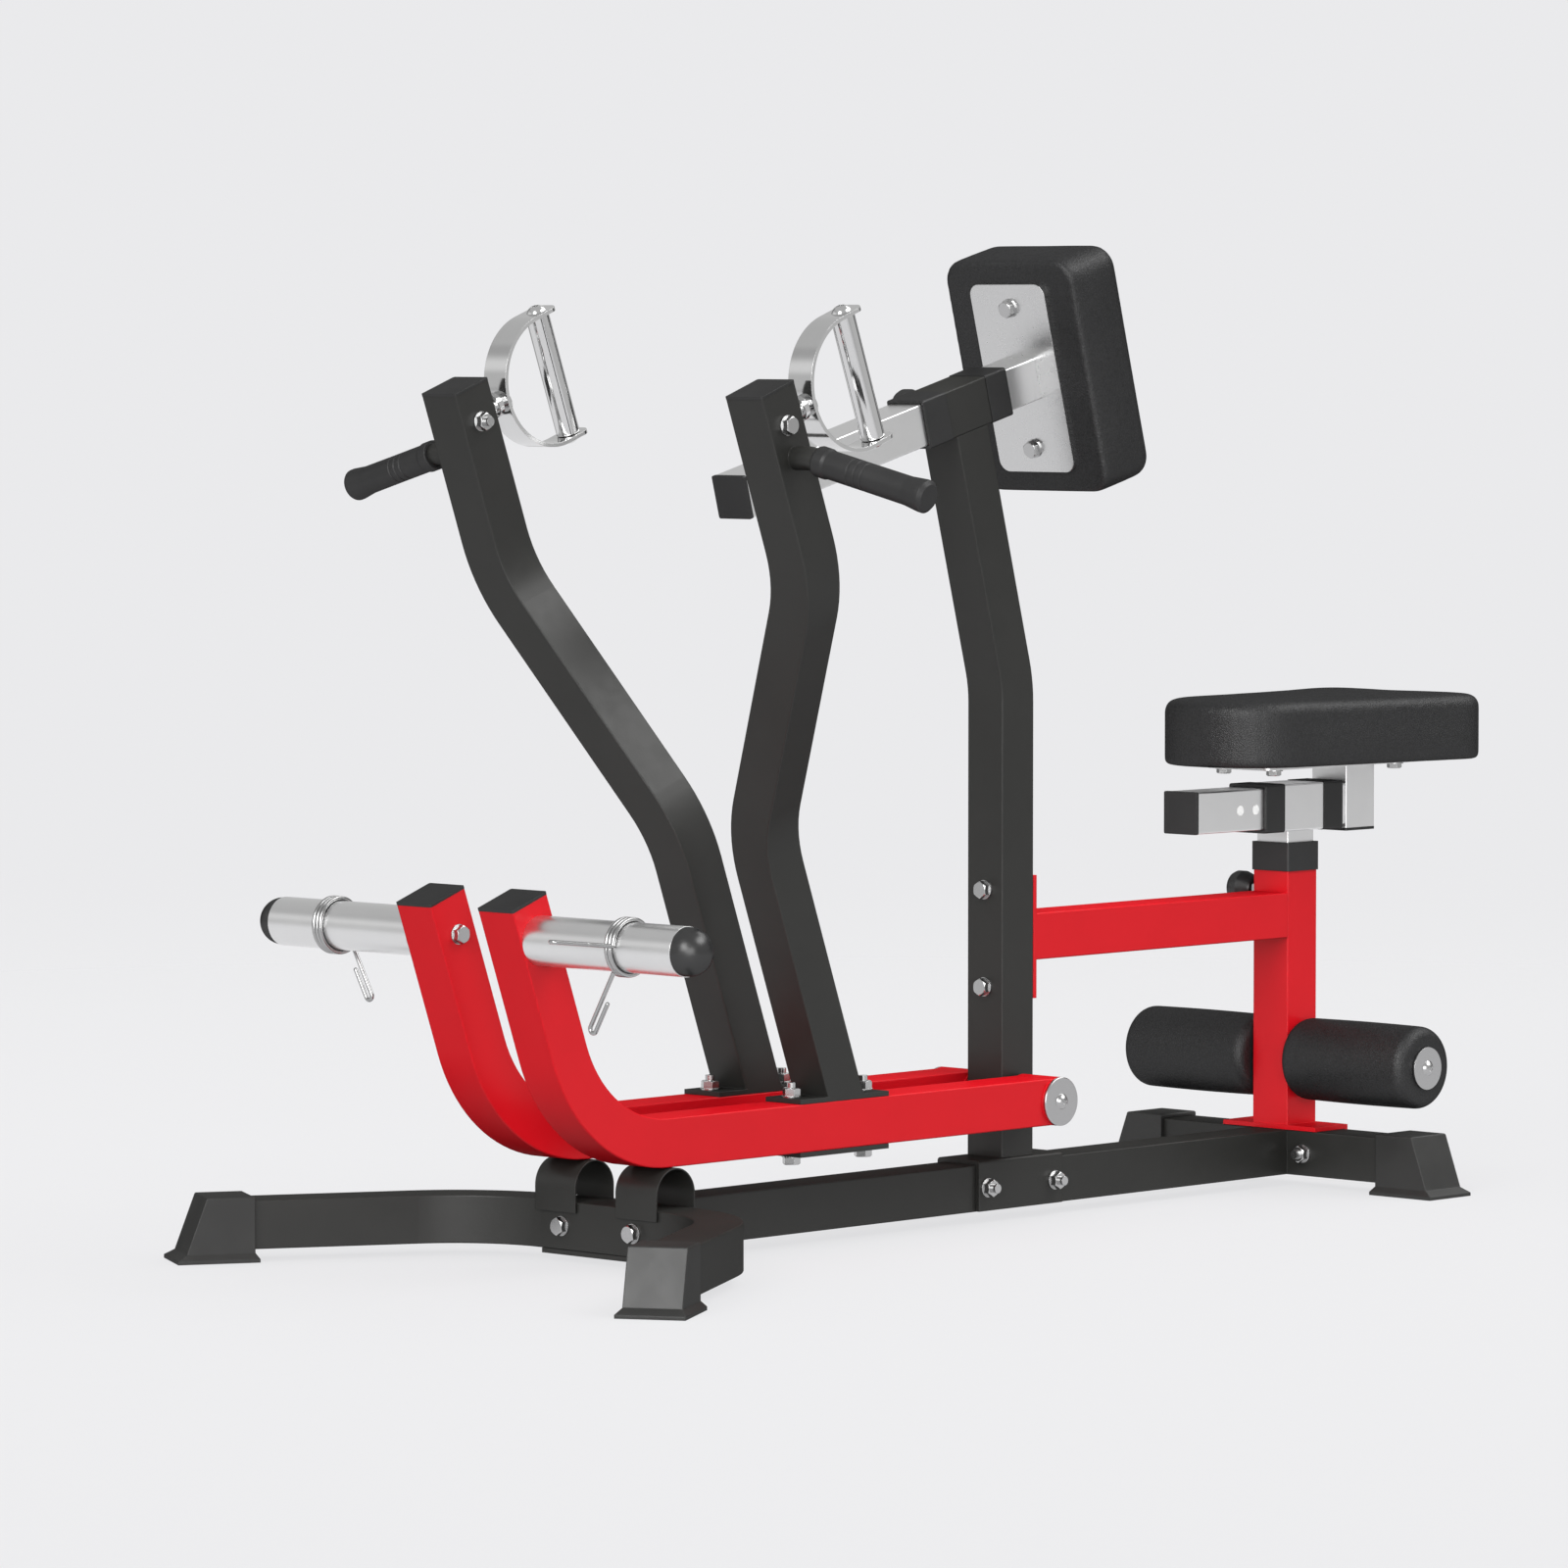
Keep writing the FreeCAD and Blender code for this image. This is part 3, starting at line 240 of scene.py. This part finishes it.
def leatherette(name, tone, cells=760.0, depth=0.00030, rough=0.30, share=0.034):
    """Vinyl upholstery with a pebble grain of about 1.3 mm."""
    m, g, p = material(name)
    at = g.place()
    wob = g.new("ShaderNodeTexNoise")
    g.link(at, wob.inputs["Vector"])
    wob.inputs["Scale"].default_value = 420.0
    wob.inputs["Detail"].default_value = 2.0
    off = g.vec("SCALE", g.vec("SUBTRACT", wob.outputs["Color"], (0.5, 0.5, 0.5)), scale=0.0009)
    bent = g.vec("ADD", at, off)
    v = g.new("ShaderNodeTexVoronoi", feature="SMOOTH_F1")
    g.link(bent, v.inputs["Vector"])
    v.inputs["Scale"].default_value = cells
    v.inputs["Smoothness"].default_value = 0.55
    pebble = g.span(v.outputs["Distance"], 0.12, 0.72, 1.0, 0.0)
    wave = g.noise(at, 120.0, 3.0, 0.6)
    fine = g.noise(at, 2600.0, 2.0, 0.6)
    # The hollows between the pebbles are painted darker, down to 55 % of the tone: painted shade in the grain's
    # valleys.
    valley_shade = g.span(pebble, 0.0, 0.45)
    worn = g.mix(g.span(g.noise(at, 14.0, 3.0, 0.6), 0.3, 0.72), rgb(*(c * 0.90 for c in tone)), rgb(*(c * 1.06 for c in tone)))
    g.put(p.inputs["Base Color"], g.mix(valley_shade, rgb(*(c * 0.55 for c in tone)), worn))
    r = g.math("ADD", g.span(wave, 0.3, 0.7, rough - 0.05, rough + 0.05), g.span(pebble, 0.0, 0.6, 0.12, 0.0))
    n = g.bump(pebble, depth, 0.75)
    n = g.bump(wave, 0.0006, 0.10, n)
    n = g.bump(fine, 0.00004, 0.30, n)
    glaze(g, p, share, r, n)
    return m


RED = painted("red_powder_coat", (0.610, 0.0055, 0.0120), (0.585, 0.0050, 0.0110), 0.32, 0.024, 0.35)
BLACK = painted("black_powder_coat", (0.0225, 0.0224, 0.0208), (0.0195, 0.0195, 0.0180), 0.38, 0.034, 0.55)
STEEL_X = steel("plated_tube_x", (0.78, 0.78, 0.78), 0.32, (1, 0, 0))
STEEL_Y = steel("plated_tube_y", (0.78, 0.78, 0.78), 0.30, (0, 1, 0))
STEEL_Z = steel("plated_tube_z", (0.78, 0.78, 0.78), 0.32, (0, 0, 1))
STEEL_A = steel("plated_tube_lean", (0.78, 0.78, 0.78), 0.32, (1, 0, 1))
PLATE = polished("plated_sheet", (0.66, 0.66, 0.66), 0.26, edge=0.0010)
CHROME = polished("chrome", (0.72, 0.72, 0.72), 0.09)
WIRE = polished("spring_wire", (0.44, 0.44, 0.44), 0.18)
ZINC = polished("bright_zinc", (0.50, 0.50, 0.50), 0.20, edge=0.0005)
SATIN = polished("satin_washer", (0.47, 0.47, 0.47), 0.24, edge=0.0008)
BLACK_PLASTIC = moulded("black_plastic", (0.0170, 0.0170, 0.0172), 0.40, 0.45, 1500.0)
GLOSS_PLASTIC = moulded("gloss_black_plastic", (0.0170, 0.0170, 0.0172), 0.30, 0.25, 1500.0, share=0.055)
GLOWING_WHITE_PLASTIC = moulded("white_plastic", (0.92, 0.92, 0.91), 0.22, 0.10, 900.0)
# The plug discs glow with a small white emission: painted light, so they read brighter than the lamps alone make them.
for n_ in GLOWING_WHITE_PLASTIC.node_tree.nodes:
    if n_.type == "BSDF_PRINCIPLED":
        n_.inputs["Emission Color"].default_value = rgb(1.0, 1.0, 1.0)
        n_.inputs["Emission Strength"].default_value = 0.24
BOOT = moulded("boot_rubber", (0.0250, 0.0250, 0.0240), 0.38, 0.55, 1100.0, share=0.04, edge=0.0016)
GRIP = moulded("grip_rubber", (0.0165, 0.0165, 0.0168), 0.48, 0.60, 1300.0)
HIDE = leatherette("pebble_leatherette", (0.0194, 0.0195, 0.0202))

FINISH = {
    RED: ["arm_lower_left", "arm_lower_right", "seat_post", "seat_brace"],
    BLACK: ["base_frame", "front_leg", "column", "chest_sleeve", "stop_arches", "arm_upper_left", "arm_upper_right",
            "arm_clamp_plate_left", "arm_clamp_plate_right"],
    STEEL_X: ["seat_slide_tube"],
    STEEL_Y: ["weight_sleeve_left", "weight_sleeve_right", "roller_shaft", "pivot_shaft"],
    STEEL_Z: ["seat_riser", "seat_bracket"],
    STEEL_A: ["chest_slide_tube"],
    PLATE: ["chest_plate"],
    CHROME: ["dhandle_strap_left", "dhandle_strap_right", "dhandle_grip_left", "dhandle_grip_right"],
    WIRE: ["spring_clip_left", "spring_clip_right"],
    SATIN: ["roller_end_washers", "pivot_end_caps"],
    ZINC: ["frame_bolts", "arm_bolts_left", "arm_bolts_right", "chest_bolts", "seat_fasteners", "pin_housings",
           "seat_pin_housing"],
    BLACK_PLASTIC: ["chest_bushes", "post_bush", "seat_bushes", "seat_tube_caps", "chest_tube_cap", "arm_caps_left",
                    "arm_caps_right"],
    GLOSS_PLASTIC: ["sleeve_cap_left", "sleeve_cap_right", "chest_pin", "post_pin", "seat_pin"],
    GLOWING_WHITE_PLASTIC: ["seat_hole_plugs"],
    BOOT: ["boot_front_left", "boot_front_right", "boot_rear_left", "boot_rear_right"],
    GRIP: ["side_grip_left", "side_grip_right"],
    HIDE: ["chest_pad", "seat_pad", "roller_left", "roller_right"],
}
for mat_, names in FINISH.items():
    for n_ in names:
        mesh_ = nodes[n_].data
        mesh_.materials.clear()
        mesh_.materials.append(mat_)


# ------------------------------------------------------------------ mesh tools
def add_object(name, mesh, mat_=None):
    ob = bpy.data.objects.new(name, mesh)
    scene.collection.objects.link(ob)
    if mat_ is not None:
        mesh.materials.append(mat_)
    return ob


def make_mesh(name, verts, faces, smooth=True):
    me = bpy.data.meshes.new(name)
    me.from_pydata([tuple(v) for v in verts], [], faces)
    me.validate()
    me.update()
    if smooth:
        me.polygons.foreach_set("use_smooth", [True] * len(me.polygons))
    bm = bmesh.new()
    bm.from_mesh(me)
    bmesh.ops.recalc_face_normals(bm, faces=bm.faces)
    bm.to_mesh(me)
    bm.free()
    return me


def outline(corners, radii, inset, per=9, along=14):
    """Rounded polygon, moved inwards by inset, as an even number of points."""
    n = len(corners)
    pts = []
    for i in range(n):
        p, a, b = Vector(corners[i]), Vector(corners[i - 1]), Vector(corners[(i + 1) % n])
        da, db = (a - p).normalized(), (b - p).normalized()
        half = da.angle(db) / 2
        bis = (da + db).normalized()
        r0 = radii[i]
        centre = p + bis * (r0 / math.sin(half))
        r = max(r0 - inset, 0.0005)
        if r0 - inset < 0.0005:
            centre = p + bis * ((inset + r) / math.sin(half))
        s0 = (p + da * (r0 / math.tan(half)) - (p + bis * (r0 / math.sin(half)))).normalized()
        s1 = (p + db * (r0 / math.tan(half)) - (p + bis * (r0 / math.sin(half)))).normalized()
        turn = s0.angle(s1)
        sign = 1.0 if s0.x * s1.y - s0.y * s1.x > 0 else -1.0
        for k in range(per + 1):
            t = sign * turn * k / per
            c, s = math.cos(t), math.sin(t)
            pts.append(centre + Vector((s0.x * c - s0.y * s, s0.x * s + s0.y * c)) * r)
    out = []
    for i in range(n):
        arc = pts[i * (per + 1):(i + 1) * (per + 1)]
        nxt = pts[((i + 1) % n) * (per + 1)]
        out += arc
        for k in range(1, along):
            out.append(arc[-1].lerp(nxt, k / along))
    return out


def block_pad(name, corners, radii, z0, z1, r_low, r_top, place, shrink=0.0):
    """Closed cushion blank: rounded outline, rounded rims; place maps it to the row frame."""
    z0, z1 = z0, z1 - shrink
    rings = []
    for k in range(7):
        a = math.radians(90 * k / 6)
        rings.append((shrink + r_low * (1 - math.sin(a)), z0 + r_low * (1 - math.cos(a))))
    for k in range(1, 9):
        rings.append((shrink, z0 + r_low + (z1 - r_top - z0 - r_low) * k / 9))
    for k in range(8):
        a = math.radians(90 * k / 7)
        rings.append((shrink + r_top * (1 - math.cos(a)), z1 - r_top * (1 - math.sin(a))))
    verts, faces = [], []
    loops = []
    for inset, z in rings:
        pts = outline(corners, radii, inset)
        loops.append(list(range(len(verts), len(verts) + len(pts))))
        verts += [place(p.x, p.y, z) for p in pts]
    m = len(loops[0])
    for a, b in zip(loops, loops[1:]):
        for i in range(m):
            j = (i + 1) % m
            faces.append((a[i], a[j], b[j], b[i]))
    for end, base in ((0, rings[0]), (-1, rings[-1])):
        prev = loops[end]
        pts = outline(corners, radii, base[0])
        cx = sum(p.x for p in pts) / m
        cy = sum(p.y for p in pts) / m
        for f in (0.82, 0.62, 0.42, 0.22):
            ring = list(range(len(verts), len(verts) + m))
            verts += [place(cx + (p.x - cx) * f, cy + (p.y - cy) * f, base[1]) for p in pts]
            for i in range(m):
                j = (i + 1) % m
                faces.append((prev[i], prev[j], ring[j], ring[i]) if end else (prev[j], prev[i], ring[i], ring[j]))
            prev = ring
        verts.append(place(cx, cy, base[1]))
        c = len(verts) - 1
        for i in range(m):
            j = (i + 1) % m
            faces.append((prev[i], prev[j], c) if end else (prev[j], prev[i], c))
    return make_mesh(name, verts, faces)


def stuffed(ob, voxel, cap, pinned, pressure=4.0, frames=20):
    """Remesh the blank evenly, let it swell as foam does under its cover, and cap the swelling."""
    blank = ob.copy()
    blank.data = ob.data.copy()
    scene.collection.objects.link(blank)
    re = ob.modifiers.new("even", "REMESH")
    re.mode = "VOXEL"
    re.voxel_size = voxel
    sw = ob.modifiers.new("fit", "SHRINKWRAP")
    sw.target = blank
    sw.wrap_method = "NEAREST_SURFACEPOINT"
    deps = bpy.context.evaluated_depsgraph_get()
    me = bpy.data.meshes.new_from_object(ob.evaluated_get(deps))
    ob.modifiers.clear()
    old = ob.data
    ob.data = me
    bpy.data.meshes.remove(old)
    start = [v.co.copy() for v in me.vertices]
    held = ob.vertex_groups.new(name="held")
    held.add([i for i, c in enumerate(start) if pinned(c)], 1.0, "REPLACE")
    cl = ob.modifiers.new("swell", "CLOTH")
    s = cl.settings
    s.quality = 5
    s.mass = 0.25
    s.tension_stiffness = 12.0
    s.compression_stiffness = 12.0
    s.shear_stiffness = 5.0
    s.bending_stiffness = 2.0
    s.use_pressure = True
    s.uniform_pressure_force = pressure
    s.vertex_group_mass = "held"
    s.effector_weights.gravity = 0.0
    cl.collision_settings.use_collision = False
    cl.point_cache.frame_start = 1
    cl.point_cache.frame_end = frames
    for f in range(1, frames + 1):
        scene.frame_set(f)
    deps = bpy.context.evaluated_depsgraph_get()
    done = bpy.data.meshes.new_from_object(ob.evaluated_get(deps))
    moved = [v.co.copy() for v in done.vertices]
    ob.modifiers.clear()
    ob.vertex_groups.clear()
    scene.frame_set(1)
    bm = bmesh.new()
    bm.from_mesh(me)
    bmesh.ops.smooth_vert(bm, verts=bm.verts, factor=0.3, use_axis_x=True, use_axis_y=True, use_axis_z=True)
    bm.normal_update()
    near = [[e.other_vert(v).index for e in v.link_edges] for v in bm.verts]
    normal = [v.normal.copy() for v in bm.verts]
    lift = [0.0 if pinned(a) else max(0.0, (b - a).dot(n)) for a, b, n in zip(start, moved, normal)]
    lift = [cap * math.tanh(h / cap) for h in lift]
    free = [0.0 if pinned(a) else 1.0 for a in start]
    for _ in range(26):
        lift = [f * (0.4 * h + 0.6 * sum(lift[j] for j in ns) / max(len(ns), 1)) for f, h, ns in zip(free, lift, near)]
    for v, n, h in zip(bm.verts, normal, lift):
        v.co = v.co + n * h
    bm.to_mesh(me)
    bm.free()
    me.polygons.foreach_set("use_smooth", [True] * len(me.polygons))
    me.materials.clear()
    bpy.data.meshes.remove(done)
    scratch = blank.data
    bpy.data.objects.remove(blank)
    bpy.data.meshes.remove(scratch)


# ------------------------------------------------------------------ upholstery
LEAN = math.radians(15.0)
CL, SL = math.cos(LEAN), math.sin(LEAN)
SHIFT = 0.1041
AX = Vector((CL, 0, SL))
UP = Vector((-SL, 0, CL))


def chest_place(x, y, z):
    """x runs up the pad, y across it, z from the plate to the front."""
    base = AX * (0.2684 + z) + UP * (0.858 + x)
    return (base.x + SHIFT, y, base.z)


def soft_piece(name, mesh, node, body, pinned, voxel, cap):
    ob = add_object(name, mesh)
    stuffed(ob, voxel, cap, pinned)
    ob.data.materials.append(HIDE)
    sub = ob.modifiers.new("smooth", "SUBSURF")
    sub.levels = sub.render_levels = 1
    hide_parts(node)
    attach(ob, body)
    return ob


W2, L2 = 0.0925, 0.129
chest = block_pad("chest_cushion", [(-L2, -W2), (L2, -W2), (L2, W2), (-L2, W2)], [0.026] * 4,
                  0.0, 0.079, 0.006, 0.014, chest_place, shrink=0.0012)


def chest_held(c):
    return (Vector((c.x - SHIFT, 0, c.z)).dot(AX)) < 0.2684 + 0.004


chest = soft_piece("chest_cushion", chest, "chest_pad", "chest_carriage", chest_held, 0.0040, 0.0022)

SX0, SX1, RW, FW = 0.3172 + SHIFT, 0.6928 + SHIFT, 0.1243, 0.0809
seat = block_pad("seat_cushion", [(SX0, -FW), (SX1, -RW), (SX1, RW), (SX0, FW)], [0.0833, 0.039, 0.039, 0.0833],
                 0.4691, 0.5420, 0.006, 0.013, lambda x, y, z: (x, y, z), shrink=0.0012)


def seat_held(c):
    return c.z < 0.4691 + 0.004


seat = soft_piece("seat_cushion", seat, "seat_pad", "seat_carriage", seat_held, 0.0042, 0.0026)


def roller_mesh(name, side):
    """Foam sleeve on the cross shaft: lathe profile about the Y axis."""
    cx, cz = 0.4726 + SHIFT, 0.1405
    y0, y1 = 0.0275, 0.2020
    R, r_in, f = 0.0454, 0.01262, 0.0128
    prof = [(r_in, y0 + 0.0006)]
    for k in range(1, 5):
        t = k / 5
        prof.append((r_in + (R - f - r_in) * t, y0 + 0.0006 * (1 - t) ** 2))
    for k in range(9):
        a = math.radians(90 * k / 8)
        prof.append((R - f + f * math.sin(a), y0 + f * (1 - math.cos(a))))
    for k in range(1, 16):
        t = k / 16
        prof.append((R + 0.0006 * math.sin(math.pi * t), y0 + f + (y1 - y0 - 2 * f) * t))
    for k in range(9):
        a = math.radians(90 * k / 8)
        prof.append((R - f + f * math.cos(a), y1 - f * (1 - math.sin(a))))
    for k in range(1, 5):
        t = 1 - k / 5
        prof.append((r_in + (R - f - r_in) * t, y1 - 0.0006 * (1 - t) ** 2))
    prof.append((r_in, y1 - 0.0006))
    for k in range(1, 16):
        prof.append((r_in, y1 - 0.0006 + (y0 - y1 + 0.0012) * k / 16))
    seg = 72
    verts, faces = [], []
    for k in range(seg):
        a = 2 * math.pi * k / seg
        for r, y in prof:
            verts.append((cx + r * math.cos(a), side * y, cz + r * math.sin(a)))
    m = len(prof)
    for k in range(seg):
        for i in range(m):
            a, b = k * m + i, k * m + (i + 1) % m
            c, d = ((k + 1) % seg) * m + (i + 1) % m, ((k + 1) % seg) * m + i
            faces.append((a, b, c, d))
    return make_mesh(name, verts, faces)


for side, word in ((-1, "left"), (1, "right")):
    ob = add_object("foam_roller_" + word, roller_mesh("foam_roller_" + word, side), HIDE)
    sub = ob.modifiers.new("smooth", "SUBSURF")
    sub.levels = sub.render_levels = 1
    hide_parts("roller_" + word)
    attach(ob, "leg_roller_" + word)


# ------------------------------------------------------------------ studio
FLAT = (0.8235, 0.8235, 0.8380)


def build_world():
    w = bpy.data.worlds.new("studio")
    w.use_nodes = True
    scene.world = w
    t = w.node_tree
    t.nodes.clear()
    g = Nodes(t)
    d = g.new("ShaderNodeTexCoord").outputs["Generated"]
    sep = g.new("ShaderNodeSeparateXYZ")
    g.link(d, sep.inputs[0])
    z = sep.outputs["Z"]
    total = g.span(z, 0.30, 0.75, 0.58, 0.54)
    total = g.math("SUBTRACT", total, g.span(g.math("MULTIPLY", z, -1.0), 0.12, 0.32, 0.0, 0.48))

    def direction(v):
        return Vector(v).normalized()

    def softbox(v, hw, hh, soft, level, tot):
        c = direction(v)
        r = Vector((0, 0, 1)).cross(c).normalized()
        u = c.cross(r)
        dc = g.math("MAXIMUM", g.vec("DOT_PRODUCT", d, tuple(c)), 0.001)
        x = g.math("ABSOLUTE", g.math("DIVIDE", g.vec("DOT_PRODUCT", d, tuple(r)), dc))
        y = g.math("ABSOLUTE", g.math("DIVIDE", g.vec("DOT_PRODUCT", d, tuple(u)), dc))
        m = g.math("MULTIPLY", g.span(x, hw - soft, hw + soft, 1.0, 0.0), g.span(y, hh - soft, hh + soft, 1.0, 0.0))
        return g.math("ADD", tot, g.math("MULTIPLY", m, level))

    total = softbox((-0.79, -0.19, 0.58), 0.20, 0.18, 0.06, 4.2, total)
    total = softbox((0.72, -0.06, 0.69), 0.26, 0.20, 0.06, 3.0, total)
    total = softbox((0.40, -0.56, 0.73), 0.34, 0.20, 0.10, 5.0, total)
    total = softbox((-0.885, -0.25, 0.36), 0.24, 0.20, 0.08, 5.0, total)
    total = softbox((-0.68, -0.72, 0.10), 0.34, 0.34, 0.10, 3.2, total)
    total = softbox((-0.47, 0.69, 0.55), 0.45, 0.085, 0.06, -0.10, total)
    total = softbox((0.98, -0.17, 0.15), 0.20, 0.90, 0.08, -0.42, total)
    total = softbox((0.10, 0.99, 0.05), 0.18, 0.60, 0.08, -0.40, total)
    total = softbox((-0.66, 0.69, 0.30), 0.35, 0.12, 0.08, 0.24, total)
    total = g.math("MAXIMUM", total, 0.04)
    light = g.new("ShaderNodeBackground")
    g.link(total, light.inputs["Strength"])
    light.inputs["Color"].default_value = rgb(1.0, 1.0, 1.0)
    wall = g.new("ShaderNodeBackground")
    wall.inputs["Color"].default_value = rgb(*FLAT)
    path = g.new("ShaderNodeLightPath")
    mix = g.new("ShaderNodeMixShader")
    g.link(path.outputs["Is Camera Ray"], mix.inputs[0])
    g.link(light.outputs[0], mix.inputs[1])
    g.link(wall.outputs[0], mix.inputs[2])
    out = g.new("ShaderNodeOutputWorld")
    g.link(mix.outputs[0], out.inputs["Surface"])


build_world()


def overhead(name, place, size, power):
    """Large overhead panel that only lights matt surfaces."""
    la = bpy.data.lights.new(name, "AREA")
    la.shape = "DISK"
    la.size = size
    la.energy = power
    ob = bpy.data.objects.new(name, la)
    scene.collection.objects.link(ob)
    ob.location = place
    ob.visible_glossy = False
    ob.visible_camera = False
    return ob


overhead("overhead", (0.0, 0.0, 3.2), 4.0, 40.0)


def fill(name, toward, strength):
    """Even front fill without shadows of its own."""
    la = bpy.data.lights.new(name, "SUN")
    la.energy = strength
    la.angle = math.radians(20.0)
    la.use_shadow = False
    ob = bpy.data.objects.new(name, la)
    scene.collection.objects.link(ob)
    ob.rotation_mode = "QUATERNION"
    ob.rotation_quaternion = Vector(toward).to_track_quat("Z", "Y")
    ob.visible_glossy = False
    return ob


fill("front_fill", (-0.66, -0.74, 0.10), 0.24)


def build_floor():
    """Pale floor: mostly its own tone, so the soft shadows stay faint."""
    verts, faces = [(0.0, 0.0, 0.0)], []
    radii = [0.8, 1.6, 3.0, 6.0]
    seg = 64
    for r in radii:
        for k in range(seg):
            a = 2 * math.pi * k / seg
            verts.append((r * math.cos(a), r * math.sin(a), 0.0))
    for k in range(seg):
        faces.append((0, 1 + k, 1 + (k + 1) % seg))
    for i in range(len(radii) - 1):
        for k in range(seg):
            a, b = 1 + i * seg + k, 1 + i * seg + (k + 1) % seg
            faces.append((a, a + seg, b + seg, b))
    me = make_mesh("studio_floor", verts, faces, smooth=False)
    ob = add_object("studio_floor", me)
    ob.location.z = -0.0004
    m = bpy.data.materials.new("floor")
    m.use_nodes = True
    t = m.node_tree
    t.nodes.clear()
    g = Nodes(t)
    at = g.place()
    grain = g.noise(at, 30.0, 3.0, 0.6)
    lit = g.new("ShaderNodeBsdfDiffuse")
    a = 0.10
    g.put(lit.inputs["Color"], g.mix(g.span(grain, 0.3, 0.7), rgb(a * 0.99, a * 0.99, a * 0.995), rgb(a, a, a * 1.005)))
    glow = g.new("ShaderNodeEmission")
    glow.inputs["Color"].default_value = rgb(*FLAT)
    glow.inputs["Strength"].default_value = 0.865
    add = g.new("ShaderNodeAddShader")
    g.link(lit.outputs[0], add.inputs[0])
    g.link(glow.outputs[0], add.inputs[1])
    clear = g.new("ShaderNodeBsdfTransparent")
    far = g.span(g.vec("LENGTH", at), 2.5, 5.8)
    mix = g.new("ShaderNodeMixShader")
    g.link(far, mix.inputs[0])
    g.link(add.outputs[0], mix.inputs[1])
    g.link(clear.outputs[0], mix.inputs[2])
    out = g.new("ShaderNodeOutputMaterial")
    g.link(mix.outputs[0], out.inputs["Surface"])
    me.materials.append(m)
    ob.visible_diffuse = False
    ob.visible_shadow = False
    return ob


build_floor()

# ------------------------------------------------------------------ camera
cam = bpy.data.cameras.new("camera")
cam.sensor_width = 36.0
cam.lens = 182.7022
cam.clip_start = 0.1
cam.clip_end = 200.0
cam_ob = bpy.data.objects.new("camera", cam)
scene.collection.objects.link(cam_ob)
X_ = Vector((0.6893671, -0.7244122, 0.0))
Y_ = Vector((0.0425670, 0.0405077, 0.9982721))
Z_ = Vector((-0.7231605, -0.6881759, 0.0587607))
rot = Matrix((X_, Y_, Z_)).transposed().to_4x4()
cam_ob.matrix_world = Matrix.Translation((-6.2024153, -5.6819163, 0.9640648)) @ rot
scene.camera = cam_ob
